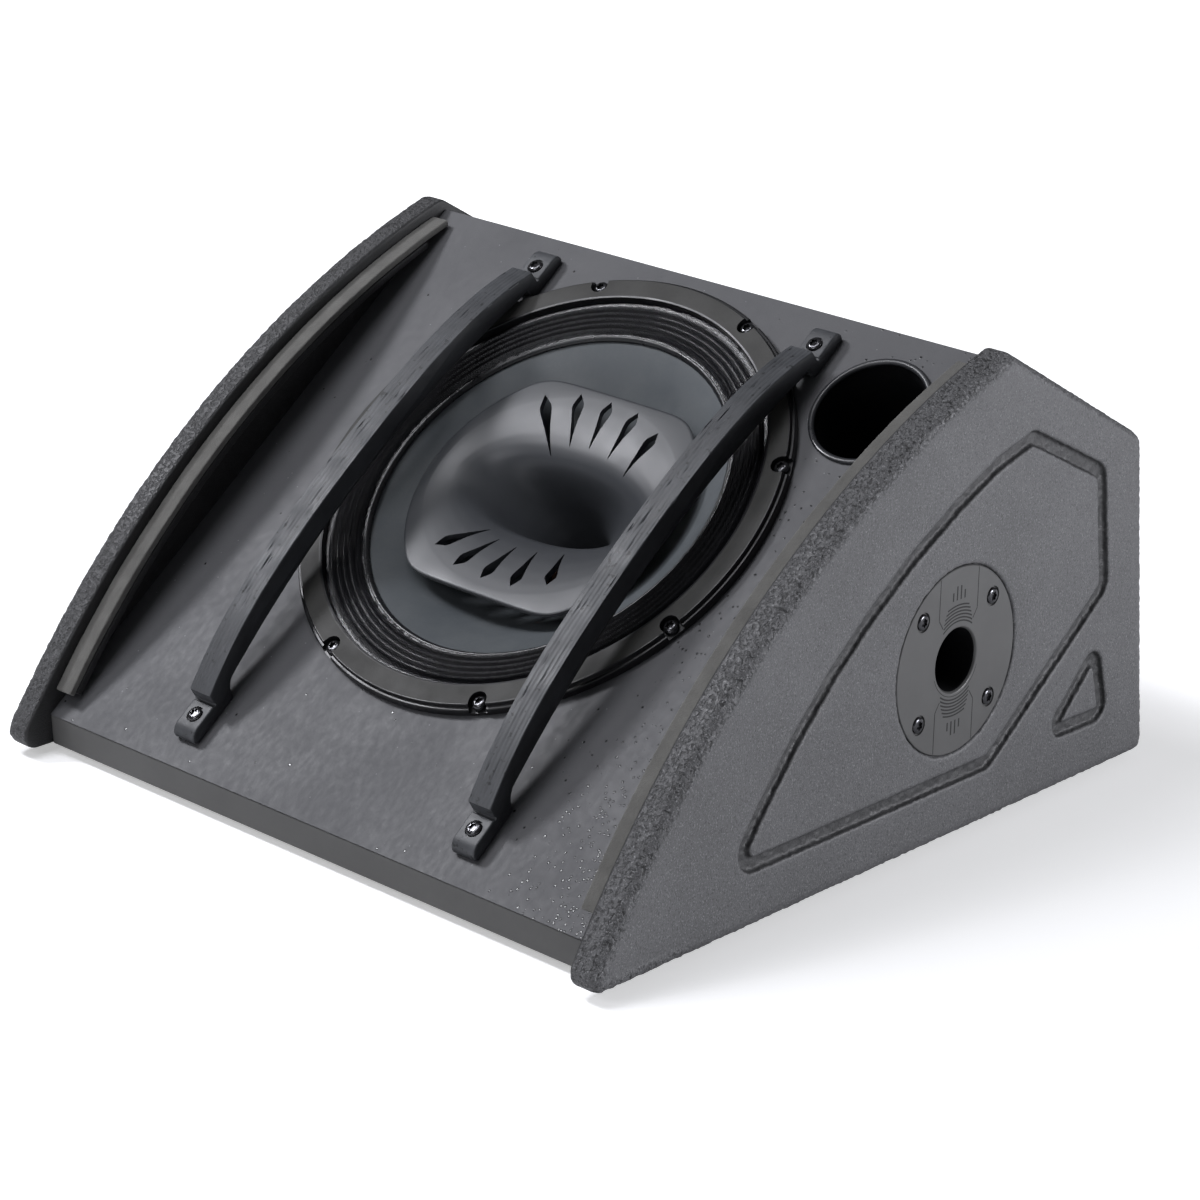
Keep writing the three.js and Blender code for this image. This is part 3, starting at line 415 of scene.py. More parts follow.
# ------------------------------------------------------------------ materials
def material(name, base, rough=0.5, metal=0.0, spec=0.5, vary=0.12, vary_scale=30.0, rough_vary=0.08,
             bumps=(), coat=0.0, sheen=0.0, streak=None, tint=None, dots=None, aniso=None, pit=None, edge=False, specks=None):
    """Procedural surface: colour and roughness wander with noise, bumps is a list of
    (kind, scale, height in mm, detail)."""
    m = bpy.data.materials.new(name)
    m.use_nodes = True
    nt = m.node_tree
    N, L = nt.nodes, nt.links
    bsdf = N["Principled BSDF"]
    tc = N.new("ShaderNodeTexCoord")
    co = tc.outputs["Object"]

    def noise_tex(scale, detail=3.0, rough_=0.55, vec=None):
        t = N.new("ShaderNodeTexNoise")
        t.inputs["Scale"].default_value = scale
        t.inputs["Detail"].default_value = detail
        t.inputs["Roughness"].default_value = rough_
        L.new(vec if vec is not None else co, t.inputs["Vector"])
        return t.outputs["Fac"]

    def maths(op, a, b=None, c=None):
        t = N.new("ShaderNodeMath")
        t.operation = op
        for i, v in enumerate((a, b, c)):
            if v is None:
                continue
            if isinstance(v, (int, float)):
                t.inputs[i].default_value = v
            else:
                L.new(v, t.inputs[i])
        return t.outputs[0]

    def span(fac, lo, hi, a, b):
        t = N.new("ShaderNodeMapRange")
        t.inputs["From Min"].default_value, t.inputs["From Max"].default_value = lo, hi
        t.inputs["To Min"].default_value, t.inputs["To Max"].default_value = a, b
        L.new(fac, t.inputs["Value"])
        return t.outputs["Result"]

    def mix(fac, a, b):
        t = N.new("ShaderNodeMix")
        t.data_type = "RGBA"
        L.new(fac, t.inputs["Factor"])
        for sock, v in ((t.inputs[6], a), (t.inputs[7], b)):
            if isinstance(v, (tuple, list)):
                sock.default_value = (*v, 1)
            else:
                L.new(v, sock)
        return t.outputs[2]

    n1 = noise_tex(vary_scale, 5.0, 0.6)
    lo = tuple(c * (1 - vary) for c in base)
    hi = tuple(min(1, c * (1 + vary)) for c in (tint or base))
    color = mix(span(n1, 0.3, 0.7, 0, 1), lo, hi)
    fine = noise_tex(vary_scale * 22, 2.0)
    color = mix(span(fine, 0.25, 0.75, 0, 0.5), color, tuple(c * (1 - vary * 0.8) for c in base))
    rfac = span(noise_tex(vary_scale * 1.7, 4.0), 0.3, 0.7, max(0.03, rough - rough_vary), min(1, rough + rough_vary))
    height = None
    if streak:
        axis, sc, amount = streak
        mp = N.new("ShaderNodeMapping")
        s = [sc, sc, sc]
        s[axis] = sc * 0.035
        mp.inputs["Scale"].default_value = s
        L.new(co, mp.inputs["Vector"])
        st = noise_tex(1.0, 4.0, 0.6, mp.outputs["Vector"])
        color = mix(span(st, 0.35, 0.65, 0, amount), color, tuple(c * 1.7 for c in base))
        rfac = maths("ADD", rfac, span(st, 0.3, 0.7, -0.07, 0.07))
    for kind, scale, h, detail in bumps:
        if kind == "noise":
            f = noise_tex(scale, detail)
        elif kind == "pebble":
            v = N.new("ShaderNodeTexVoronoi")
            v.feature = "SMOOTH_F1"
            v.inputs["Scale"].default_value = scale
            v.inputs["Smoothness"].default_value = 0.8
            v.inputs["Randomness"].default_value = 1.0
            w = N.new("ShaderNodeVectorMath")
            w.operation = "ADD"
            nz = N.new("ShaderNodeTexNoise")
            nz.inputs["Scale"].default_value = scale * 0.45
            L.new(co, nz.inputs["Vector"])
            sc = N.new("ShaderNodeVectorMath")
            sc.operation = "SCALE"
            sc.inputs["Scale"].default_value = 0.9 / scale
            L.new(nz.outputs["Color"], sc.inputs[0])
            L.new(co, w.inputs[0])
            L.new(sc.outputs[0], w.inputs[1])
            L.new(w.outputs[0], v.inputs["Vector"])
            f = maths("SUBTRACT", 1.0, v.outputs["Distance"])
        elif kind == "wave":
            t = N.new("ShaderNodeTexWave")
            t.inputs["Scale"].default_value = scale
            t.inputs["Distortion"].default_value = detail
            L.new(co, t.inputs["Vector"])
            f = t.outputs["Fac"]
        part = maths("MULTIPLY", f, h * 0.001)
        height = part if height is None else maths("ADD", height, part)
    if dots:
        # Sparse droplets: (scale, size, height mm, mask socket builder)
        sc, size, h, mask = dots
        v = N.new("ShaderNodeTexVoronoi")
        v.inputs["Scale"].default_value = sc
        L.new(co, v.inputs["Vector"])
        d = span(v.outputs["Distance"], size, size * 0.55, 0, 1)
        keep = N.new("ShaderNodeSeparateColor")
        L.new(v.outputs["Color"], keep.inputs[0])
        mk = mask(N, L, co, maths, span)
        d = maths("MULTIPLY", d, maths("LESS_THAN", keep.outputs[0], mk))
        color = mix(maths("MULTIPLY", d, 0.95), color, tuple(c * 0.12 for c in base))
        rfac = mix_value(N, L, d, rfac, 0.22)
        part = maths("MULTIPLY", d, h * 0.001)
        height = part if height is None else maths("ADD", height, part)
    if pit:
        sc, lim, dark = pit
        f = noise_tex(sc, 2.0)
        color = mix(span(f, lim, lim + 0.06, 0, 1), color, tuple(c * dark for c in base))
    if specks:
        # A few light dust specks.
        sc, size, share = specks
        v = N.new("ShaderNodeTexVoronoi")
        v.inputs["Scale"].default_value = sc
        L.new(co, v.inputs["Vector"])
        d = span(v.outputs["Distance"], size, size * 0.5, 0, 0.8)
        keep = N.new("ShaderNodeSeparateColor")
        L.new(v.outputs["Color"], keep.inputs[0])
        color = mix(maths("MULTIPLY", d, maths("LESS_THAN", keep.outputs[1], share)), color, tuple(c * 3.0 for c in base))
    if edge:
        # Thick paint with painted light in its colour: over the flats, darker flecks are painted shade of the pebbles
        # and lighter flecks painted glints;
        # painted shade fills the relief's hollows and painted glints crowd the rims (attribute "rim"), and the
        # attribute "shade" paints shade into the grooves and inside.
        at = N.new("ShaderNodeAttribute")
        at.attribute_name = "rim"
        rim = at.outputs["Fac"]
        at = N.new("ShaderNodeAttribute")
        at.attribute_name = "shade"
        dark = at.outputs["Fac"]
        # Painted shade: darker flecks over the flats stand for the pebbles' shaded sides.
        pebble_shade = span(noise_tex(820, 2.0, 0.6), 0.53, 0.68, 0, 0.8)
        color = mix(pebble_shade, color, tuple(c * 0.38 for c in base))
        # Painted glints: lighter flecks over the flats.
        pebble_glints = span(noise_tex(950, 2.0, 0.6), 0.57, 0.70, 0, 0.75)
        color = mix(pebble_glints, color, tuple(min(1, c * 2.4) for c in base))
        blobs = noise_tex(400, 2.5, 0.55)
        # Painted shade in the low spots of the relief, mostly on the rims.
        hollow_shade = maths("MULTIPLY", span(blobs, 0.57, 0.63, 0, 1), maths("ADD", maths("MULTIPLY", rim, 0.8), 0.05))
        color = mix(hollow_shade, color, tuple(c * 0.10 for c in base))
        # Painted glints on the rims' coarse grain.
        rim_glints = maths("MULTIPLY", span(noise_tex(700, 2.0, 0.5), 0.62, 0.7, 0, 1), maths("MULTIPLY", rim, 0.6))
        color = mix(rim_glints, color, tuple(min(1, c * 3.2) for c in base))
        # Painted shade where the attribute "shade" is set: the colour drops to a fifth.
        color = mix(dark, color, tuple(c * 0.2 for c in base))
        part = maths("MULTIPLY", maths("MULTIPLY", span(blobs, 0.45, 0.62, 1, 0), rim), 0.0007)
        height = part if height is None else maths("ADD", height, part)
    if height is not None:
        b = N.new("ShaderNodeBump")
        b.inputs["Distance"].default_value = 1.0
        b.inputs["Strength"].default_value = 1.0
        L.new(height, b.inputs["Height"])
        L.new(b.outputs["Normal"], bsdf.inputs["Normal"])
    L.new(color, bsdf.inputs["Base Color"])
    L.new(rfac, bsdf.inputs["Roughness"])
    bsdf.inputs["Metallic"].default_value = metal
    bsdf.inputs["Specular IOR Level"].default_value = spec
    if coat:
        bsdf.inputs["Coat Weight"].default_value = coat
        bsdf.inputs["Coat Roughness"].default_value = 0.18
    if sheen:
        bsdf.inputs["Sheen Weight"].default_value = sheen
        bsdf.inputs["Sheen Roughness"].default_value = 0.5
    if aniso:
        bsdf.inputs["Anisotropic"].default_value = aniso
    return m


def mix_value(N, L, fac, a, b):
    t = N.new("ShaderNodeMix")
    t.data_type = "FLOAT"
    L.new(fac, t.inputs["Factor"])
    L.new(a, t.inputs[2])
    t.inputs[3].default_value = b
    return t.outputs[0]


def near_sides(N, L, co, maths, span):
    """Overspray droplets lie by the right-hand cheek and get denser towards the front edge."""
    sep = N.new("ShaderNodeSeparateXYZ")
    L.new(co, sep.inputs[0])
    a = span(sep.outputs["X"], 0.115, 0.2, 0.0, 1.0)
    low = span(sep.outputs["Y"], -0.22, 0.02, 0.9, 0.22)
    return maths("ADD", maths("MULTIPLY", maths("MULTIPLY", a, a), low), 0.006)


M = {}
M["texture_paint"] = material("texture_paint", (0.086, 0.0865, 0.0895), 0.5, spec=0.5, vary=0.14, vary_scale=14, rough_vary=0.08,
                              bumps=[("noise", 900, 0.30, 3), ("noise", 2100, 0.14, 2)], edge=True)
M["satin_paint"] = material("satin_paint", (0.082, 0.083, 0.088), 0.57, spec=0.38, vary=0.10, vary_scale=9, rough_vary=0.05,
                            bumps=[("noise", 1100, 0.05, 3)], streak=(1, 260, 0.10), dots=(400, 0.42, 0.16, near_sides), specks=(330, 0.16, 0.035))
M["band_paint"] = material("band_paint", (0.094, 0.0935, 0.091), 0.55, spec=0.4, vary=0.1, vary_scale=12,
                           bumps=[("noise", 900, 0.03, 3), ("noise", 160, 0.05, 3)], streak=(0, 300, 0.12))
M["bar_stain"] = material("bar_stain", (0.052, 0.055, 0.06), 0.5, spec=0.5, vary=0.3, vary_scale=40,
                          bumps=[("noise", 1400, 0.05, 3), ("noise", 420, 0.06, 3)], streak=(0, 90, 0.10), pit=(230, 0.63, 0.22))
# Painted shade: a darker copy of the bar stain for the bars' flat sides.
M["bar_side_shade"] = material("bar_side_shade", (0.026, 0.0275, 0.031), 0.6, spec=0.35, vary=0.3, vary_scale=40,
                         bumps=[("noise", 1400, 0.05, 3), ("noise", 420, 0.06, 3)], streak=(1, 90, 0.10))
M["grey_foam"] = material("grey_foam", (0.128, 0.126, 0.118), 0.95, spec=0.15, vary=0.22, vary_scale=60, rough_vary=0.04,
                          bumps=[("pebble", 1500, 0.16, 0), ("noise", 2600, 0.12, 2)], sheen=0.25)
M["foot_rubber"] = material("foot_rubber", (0.02, 0.02, 0.021), 0.75, spec=0.3, bumps=[("noise", 1800, 0.03, 3)])
M["black_plastic"] = material("black_plastic", (0.022, 0.022, 0.024), 0.42, spec=0.45, bumps=[("noise", 2200, 0.02, 2)])
M["knob_plastic"] = material("knob_plastic", (0.03, 0.03, 0.032), 0.35, spec=0.5, bumps=[("noise", 2200, 0.015, 2)])
M["port_plastic"] = material("port_plastic", (0.024, 0.025, 0.028), 0.33, spec=0.5, bumps=[("noise", 1500, 0.015, 2)])
M["amp_plate"] = material("amp_plate", (0.028, 0.029, 0.031), 0.5, spec=0.5, bumps=[("pebble", 1700, 0.05, 0)])
M["heat_sink"] = material("heat_sink", (0.035, 0.035, 0.037), 0.38, metal=0.55, spec=0.5, bumps=[("noise", 900, 0.015, 3)], streak=(2, 500, 0.25))
M["circuit_board"] = material("circuit_board", (0.02, 0.11, 0.045), 0.35, bumps=[("noise", 700, 0.03, 2)])
M["bare_steel"] = material("bare_steel", (0.5, 0.5, 0.5), 0.32, metal=1.0, bumps=[("noise", 1600, 0.012, 3)], streak=(0, 900, 0.3))
M["frame_paint"] = material("frame_paint", (0.037, 0.0367, 0.034), 0.6, metal=0.0, spec=0.3, vary=0.2, vary_scale=25,
                            bumps=[("noise", 1500, 0.06, 3), ("noise", 700, 0.05, 2)])
# Near-black: the frame's outer step, and painted shade in its pockets and gaps.
M["rim_black_and_shade"] = material("rim_black_and_shade", (0.008, 0.008, 0.009), 0.36, spec=0.4, bumps=[("noise", 1100, 0.03, 3)])
M["doped_cloth"] = material("doped_cloth", (0.009, 0.009, 0.011), 0.17, spec=0.6, vary=0.3, vary_scale=120,
                            bumps=[("noise", 1700, 0.22, 3), ("pebble", 1100, 0.12, 0), ("noise", 500, 0.2, 2)])
M["cone_paper"] = material("cone_paper", (0.082, 0.093, 0.102), 0.5, spec=0.45, vary=0.13, vary_scale=28, rough_vary=0.1,
                           bumps=[("noise", 650, 0.025, 4)], tint=(0.088, 0.096, 0.1))
M["glue"] = material("glue", (0.012, 0.0125, 0.014), 0.3, spec=0.5, vary=0.3, vary_scale=60, bumps=[("noise", 500, 0.12, 3)])
M["spider_cloth"] = material("spider_cloth", (0.16, 0.11, 0.06), 0.85, bumps=[("wave", 600, 0.1, 1.0)])
M["copper_coil"] = material("copper_coil", (0.62, 0.3, 0.15), 0.3, metal=0.9, bumps=[("wave", 900, 0.08, 0.2)])
M["ferrite"] = material("ferrite", (0.05, 0.05, 0.053), 0.75, bumps=[("noise", 900, 0.06, 3)])
M["horn_plastic"] = material("horn_plastic", (0.042, 0.045, 0.050), 0.4, spec=0.42, vary=0.08, vary_scale=16, rough_vary=0.05,
                             bumps=[("noise", 1500, 0.008, 3)])
M["black_metal"] = material("black_metal", (0.03, 0.03, 0.032), 0.4, metal=0.3, bumps=[("noise", 900, 0.03, 3)])
M["titanium_film"] = material("titanium_film", (0.55, 0.55, 0.57), 0.25, metal=1.0, bumps=[("noise", 400, 0.02, 2)])
M["pole_plate_metal"] = material("pole_plate_metal", (0.079, 0.079, 0.078), 0.36, spec=0.5, vary=0.08, vary_scale=30,
                                 bumps=[("noise", 1500, 0.01, 3)])
M["ink"] = material("ink", (0.012, 0.012, 0.012), 0.5, spec=0.3, bumps=[("noise", 900, 0.01, 2)])
M["black_screw"] = material("black_screw", (0.075, 0.075, 0.08), 0.2, metal=0.85, spec=0.6, vary=0.2, vary_scale=200, bumps=[("noise", 900, 0.02, 2)])
M["wadding"] = material("wadding", (0.75, 0.74, 0.7), 1.0, spec=0.1, bumps=[("noise", 300, 0.8, 5)], sheen=0.4)
M["cable_jacket"] = material("cable_jacket", (0.025, 0.025, 0.025), 0.55, bumps=[("noise", 900, 0.04, 2)])
# Painted shade: near-black for the inside of holes.
M["hole_painted_shade"] = material("hole_painted_shade", (0.006, 0.006, 0.007), 0.8, spec=0.1, bumps=[("noise", 600, 0.03, 2)])


def polygon_centres(ob, T=None):
    """Centres of the polygons, in millimetres of the frame T."""
    n = len(ob.data.polygons)
    c = np.zeros(n * 3)
    ob.data.polygons.foreach_get("center", c)
    c = c.reshape(-1, 3)
    if T is not None:
        inv = np.array(T.inverted())
        c = c @ inv[:3, :3].T + inv[:3, 3]
    return c


def second_material(ob, mat, mask):
    """Gives the polygons in mask another material."""
    ob.data.materials.append(M[mat])
    idx = np.zeros(len(ob.data.polygons), np.int32)
    ob.data.polygons.foreach_get("material_index", idx)
    idx[mask] = len(ob.data.materials) - 1
    ob.data.polygons.foreach_set("material_index", idx)
    ob.data.update()


def finish_piece(ob, slot, replaces=(), body="cabinet", mat=None, smooth_normals=False):
    ob.data.materials.clear()
    ob.data.materials.append(M[mat or slot])
    ob.data.polygons.foreach_set("material_index", [0] * len(ob.data.polygons))
    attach(ob, body)
    if replaces:
        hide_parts(*replaces)
    if smooth_normals:
        weighted(ob)
    return ob


# CAD nodes that stay get their slot's material.
for row in frame["record"]["subparts"]:
    ob = NODES[row["node"]]
    ob.data.materials.clear()
    ob.data.materials.append(M[row["material_slot"]])
    shade(ob, 30)


# ------------------------------------------------------------------ side panels
BIG = rounded([(-136, 36.5, 9), (91.4, 36, 9), (200.5, 115, 9), (192, 187, 9), (121.4, 222.6, 8),
               (88, 214), (52, 198), (11, 175.8), (-24, 152.5), (-57, 126.5), (-86, 98), (-112, 68)], 10)
SMALL = rounded([(195.5, 77, 6), (206.5, 35.6, 6), (152, 36.2, 5)], 10)


def side_panel(name, sign):
    ob = slab(name, side_outline(), HALF_W - SIDE_T, HALF_W, 1.0, EDGE_R, 8, SIDE)
    cutters = []
    a0, a1 = FOAM_A
    top = ARC_R - FOAM_BELOW - FOAM_T - 0.3
    b0, b1 = a0 + rad(2), a1 - rad(0.3)
    ledge = sweep((ARC_Y, ARC_Z), top, b0, b1, 80) + sweep((ARC_Y, ARC_Z), top - 4.8, b1, b0, 80)
    led = slab("ledge", ledge, HALF_W - SIDE_T - FOAM_W - 0.6, HALF_W - SIDE_T + 2, M=SIDE)
    boolean(ob, [led], "UNION")
    for path in (BIG, SMALL):
        o = slab("g", offset(path, GROOVE_W / 2), HALF_W - GROOVE_D, HALF_W + 5, M=SIDE)
        i = slab("g2", offset(path, -GROOVE_W / 2), HALF_W - GROOVE_D - 1, HALF_W + 6, M=SIDE)
        cutters.append(boolean(o, [i]))
    if sign > 0:
        cutters.append(rod("c", POLE_R + 0.7, HALF_W - 3.4, HALF_W + 5, POLE_Y, POLE_Z, 128, SIDE))
        cutters.append(rod("c", 22.7, HALF_W - 60, HALF_W + 5, POLE_Y, POLE_Z, 96, SIDE))
    boolean(ob, cutters)
    m = ob.modifiers.new("skin", "REMESH")
    m.mode, m.voxel_size, m.use_smooth_shade = "VOXEL", 0.00105, True
    applied(ob, 180)
    # Soften the routed edges as a thick paint coat does, then give it its pebbled relief.
    m = ob.modifiers.new("soften", "SMOOTH")
    m.factor, m.iterations = 0.5, 2
    applied(ob, 180)
    co, nn = coords(ob), normals(ob)
    ax_ = np.abs(co[:, 0]) * 1000
    rim = np.clip((ax_ - (HALF_W - EDGE_R)) / 1.5, 0, 1) * np.clip((HALF_W - 0.12 - ax_) / 0.5, 0, 1)
    low = (ax_ < HALF_W - 1.2) & (ax_ > HALF_W - GROOVE_D - 0.5)
    fine_ = np.array([noise.fractal(Vector(c) * 420 + Vector((3.0 * sign, 5.1 * sign, 0)), 1.0, 2.0, 2) for c in co])
    blob = np.array([noise.fractal(Vector(c) * 300 + Vector((1.0 * sign, 2.0, 9.0)), 1.0, 2.0, 2) for c in co])
    amount = 0.06 + 0.34 * rim + 0.1 * low
    d_ = np.where(rim > 0, fine_ * (1 - rim) + blob * rim, fine_) * amount
    set_coords(ob, co + nn * (d_ * 0.001)[:, None])
    # Where the coat is coarse (the rims), and where shade is painted into the colour (grooves, inner face).
    inv = np.array(SIDE.inverted())
    loc = coords(ob) @ inv[:3, :3].T + inv[:3, 3]
    yz, x_ = loc[:, :2], loc[:, 2]
    d = np.full(len(loc), 99.0)
    for path in (BIG, SMALL):
        q = np.array(path, float)
        for a_, b_ in zip(q, np.roll(q, -1, 0)):
            ab = b_ - a_
            t = np.clip(((yz - a_) @ ab) / max(1e-9, ab @ ab), 0, 1)
            d = np.minimum(d, np.hypot(*(yz - a_ - t[:, None] * ab).T))
    groove = np.clip((GROOVE_W / 2 + 1.0 - d) / 0.8, 0, 1) * np.clip((HALF_W - 0.25 - x_) / 0.5, 0, 1) * (x_ > HALF_W - GROOVE_D - 1)
    inner = np.clip((HALF_W - SIDE_T + 1.5 - x_) / 0.6, 0, 1)
    r_arc = np.hypot(yz[:, 0] - ARC_Y, yz[:, 1] - ARC_Z)
    arc = np.clip((r_arc - (ARC_R - 8.0)) / 2.5, 0, 1)
    top = np.clip(((yz - np.array(LSLOPE[0])) @ LSLOPE[1] + 6.0) / 2.5, 0, 1) * 0.5
    toe = np.clip((9.0 - yz[:, 1]) / 3, 0, 1) * np.clip((-150 - yz[:, 0]) / 40, 0, 1)
    rim_ = np.maximum(np.maximum(arc, top), toe) * (1 - inner)
    # Painted shade: in full on the inner face, three quarters in the grooves.
    shade_ = np.maximum(groove * 0.75, inner)
    # Painted shade on the left panel's rim only, so it comes out darker than the right one.
    if sign < 0:
        shade_ = np.maximum(shade_, rim_ * 0.45)
    for nm_, val in (("rim", rim_), ("shade", shade_)):
        at = ob.data.attributes.new(nm_, "FLOAT", "POINT")
        at.data.foreach_set("value", val.astype(np.float32))
    if sign < 0:
        co = coords(ob)
        co[:, 0] *= -1
        set_coords(ob, co)
        ob.data.flip_normals()
    return ob


for nm, sg in (("right_side_panel", 1), ("left_side_panel", -1)):
    ob = side_panel(nm + "_coat", sg)
    shade(ob, 180)
    finish_piece(ob, "texture_paint", [nm])

# ------------------------------------------------------------------ panels between the sides
IN = HALF_W - SIDE_T - 0.3
TOP_OUT, TOP_INN = off(LSLOPE, -TOP_INSET), off(LSLOPE, -TOP_INSET - PANEL_T)
BAF_INN = off(LBAF, -BAF_T)
REAR_OUT, REAR_INN = off(LREAR, -REAR_RECESS), off(LREAR, -REAR_RECESS - PANEL_T)


def beam(name, pts, M_, r=0.6, half=None):
    """A panel that runs from side to side, from its section in (y, z)."""
    h = half or IN
    ob = slab(name, pts, -h, h, M=M_)
    return ob


# bottom panel with the front band
ob = beam("bottom_panel_band", [(BAF_Y + 2.6, 0), (BAF_Y + 0.2, BOTTOM_T),
                                meet(off(LREAR, -6), line((0, BOTTOM_T), (0, 1))), meet(off(LREAR, -6), LBOTTOM)], SIDE)
bevel(ob, 0.9, 3)
finish_piece(ob, "satin_paint", ["bottom_panel"], mat="band_paint", smooth_normals=True)

# top rear panel
top_start, top_end = off(LBAF, -BAF_T - 0.3), off(LREAR, -5)
ob = beam("top_rear_skin", [meet(top_start, TOP_OUT), meet(top_end, TOP_OUT), meet(top_end, TOP_INN), meet(top_start, TOP_INN)], SIDE)
boolean(ob, [slab("c", rrect(-84, 84, -30, 30, 12, 10), -40, 10, M=TOPF)])
bevel(ob, 0.8, 3)
finish_piece(ob, "texture_paint", ["top_rear_panel"], smooth_normals=True)

# baffle
def to_baffle(p):
    a, b = p[0] - BAF_Y, p[1] - BAF_Z
    c, s = math.cos(BAF_A), math.sin(BAF_A)
    return (a * c + b * s, -a * s + b * c)


YZB = BAF @ Matrix(((0, 0, 1, 0), (1, 0, 0, 0), (0, 1, 0, 0), (0, 0, 0, 1)))
pts = [to_baffle(p) for p in (meet(LBAF, LSHELF), meet(LBAF, TOP_OUT), meet(BAF_INN, TOP_OUT), meet(BAF_INN, LSHELF))]
ob = slab("baffle_skin", pts, -IN, IN, M=YZB)
cut = [rod("c", CUTOUT_R + 0.5, -30, 10, 0, DRIVER_V, 160, BAF), rod("c", PORT_OUT + 0.5, -30, 10, PORT_U, PORT_V, 96, BAF)]
for a in SCREW_A:
    cut.append(rod("c", 2.8, -12.5, 5, SCREW_R * math.cos(a), DRIVER_V + SCREW_R * math.sin(a), 24, BAF))
for u in (-BAR_U, BAR_U):
    for v in BAR_SCREW_V:
        cut.append(rod("c", 2.8, -12.5, 5, u, v, 24, BAF))
boolean(ob, cut)
bevel(ob, 0.7, 3)
finish_piece(ob, "satin_paint", ["baffle"], smooth_normals=True)

# feet
for i, (x, y) in enumerate(FEET):
    nm = ["front_left_foot", "front_right_foot", "rear_left_foot", "rear_right_foot"][i]
    prof = [(0, -FOOT_H), (8.6, -FOOT_H), (9.8, -4.5), (10.9, -3.4), (11.6, -1.2), (11.8, -0.3), (4.5, -0.3), (4.2, -1.0), (0, -1.0)]
    ob = lathe(nm + "_pad", prof, 64, CAB @ Matrix.Translation((x, y, 0)))
    finish_piece(ob, "foot_rubber", [nm])

# ------------------------------------------------------------------ handle
prof_out = rrect(-96, 96, -41, 41, 14, 12)
ob = slab("carry_handle_cup", prof_out, -TOP_INSET + 0.3, -TOP_INSET + 2.8, 0.2, 1.4, 4, TOPF)
cup = slab("c", rrect(-83, 83, -29, 29, 11, 12), -43, -TOP_INSET + 1.0, 4.0, 0, 4, TOPF)
boolean(ob, [cup], "UNION")
boolean(ob, [slab("c", rrect(-80, 80, -26, 26, 9, 12), -40, 10, 6.0, 0, 5, TOPF)])
bar = [(-81, 0), (81, 0)]
GX = TOPF @ basis((0, 1, 0), (0, 0, 1), (1, 0, 0), (0, 9, -15))
grip = lathe("g", [(0, -81.5), (9.6, -81.5), (9.2, -74), (8.5, -66), (8.5, 66), (9.2, 74), (9.6, 81.5), (0, 81.5)], 48, GX)
boolean(ob, [grip], "UNION")
bevel(ob, 0.5, 2)
finish_piece(ob, "black_plastic", ["carry_handle"], smooth_normals=True)

# ------------------------------------------------------------------ rear panel and amplifier
def to_rear(p):
    dy = p[0] - REAR_Y
    return (-dy * math.sin(REAR_LEAN) + p[1] * math.cos(REAR_LEAN), dy * math.cos(REAR_LEAN) + p[1] * math.sin(REAR_LEAN))


AMP_Z = -REAR_RECESS + 0.3
AMP_FACE = AMP_Z + 2.5
AMP_SCREWS = [(-158, 39), (158, 39), (-158, 153), (158, 153)]
YZR = REARF @ Matrix(((0, 0, 1, 0), (1, 0, 0, 0), (0, 1, 0, 0), (0, 0, 0, 1)))
under = off(TOP_INN, -0.3)
pts = [to_rear(p) for p in (meet(REAR_OUT, LSHELF), meet(REAR_OUT, under), meet(REAR_INN, under), meet(REAR_INN, LSHELF))]
ob = slab("rear_panel_skin", pts, -IN, IN, M=YZR)
cut = [slab("c", rrect(-148, 148, 45, 147, 1), -60, 0, M=REARF)]
cut += [rod("c", 2.3, -38, -20, x, y, 24, REARF) for x, y in AMP_SCREWS]
boolean(ob, cut)
bevel(ob, 0.6, 2)
finish_piece(ob, "texture_paint", ["rear_panel"], smooth_normals=True)

XLR_IN, XLR_OUT, KNOB, BUTTON, INLET, ROCKER_X = (34, 118), (72, 118), (108, 118), (140, 118), (120, 62), 139
ob = slab("amp_panel_plate", rrect(-165, 165, 32, 160, 4, 8), AMP_Z, AMP_FACE, 0.1, 0.5, 3, REARF)
cut = [rod("c", 2.3, -30, -20, x, y, 32, REARF) for x, y in AMP_SCREWS]
for x, y in (XLR_IN, XLR_OUT):
    cut.append(rod("c", 12.4, -30, -20, x, y, 64, REARF))
    cut.append(block("c", x - 5, x + 5, y + 8, y + 15, -30, -20, REARF))
cut += [rod("c", 4.0, -30, -20, *KNOB, 48, REARF), rod("c", 4.5, -30, -20, *BUTTON, 48, REARF)]
cut.append(block("c", INLET[0] - 27.5, INLET[0] + 27.5, INLET[1] - 12.5, INLET[1] + 12.5, -30, -20, REARF))
boolean(ob, cut)
finish_piece(ob, "amp_plate", ["amp_panel"], smooth_normals=True)

# heat sink: a base with twelve ribbed fins, one extrusion
pts = []
z0, z1 = AMP_FACE + 0.3, AMP_FACE + 3.8
pts.append((-150, z0))
pts.append((-150, z1))
for i in range(12):
    x = -149 + i * 11.72
    for k in range(6):
        zz = z1 + 0.2 + (-5.6 - z1) * k / 5
        pts.append((x - (0.0 if k % 2 else -0.25), zz))
    pts += [(x + 0.5, -5.1), (x + 1.1, -5.0), (x + 1.7, -5.1)]
    for k in range(5, -1, -1):
        zz = z1 + 0.2 + (-5.6 - z1) * k / 5
        pts.append((x + 2.2 + (0.0 if k % 2 else -0.25), zz))
pts += [(-18, z1), (-18, z0)]
HS = REARF @ Matrix(((1, 0, 0, 0), (0, 0, 1, 0), (0, 1, 0, 0), (0, 0, 0, 1)))
ob = slab("heat_sink_fins", pts, 44.5, 147.5, M=HS, angle=40)
finish_piece(ob, "heat_sink", ["heat_sink"])


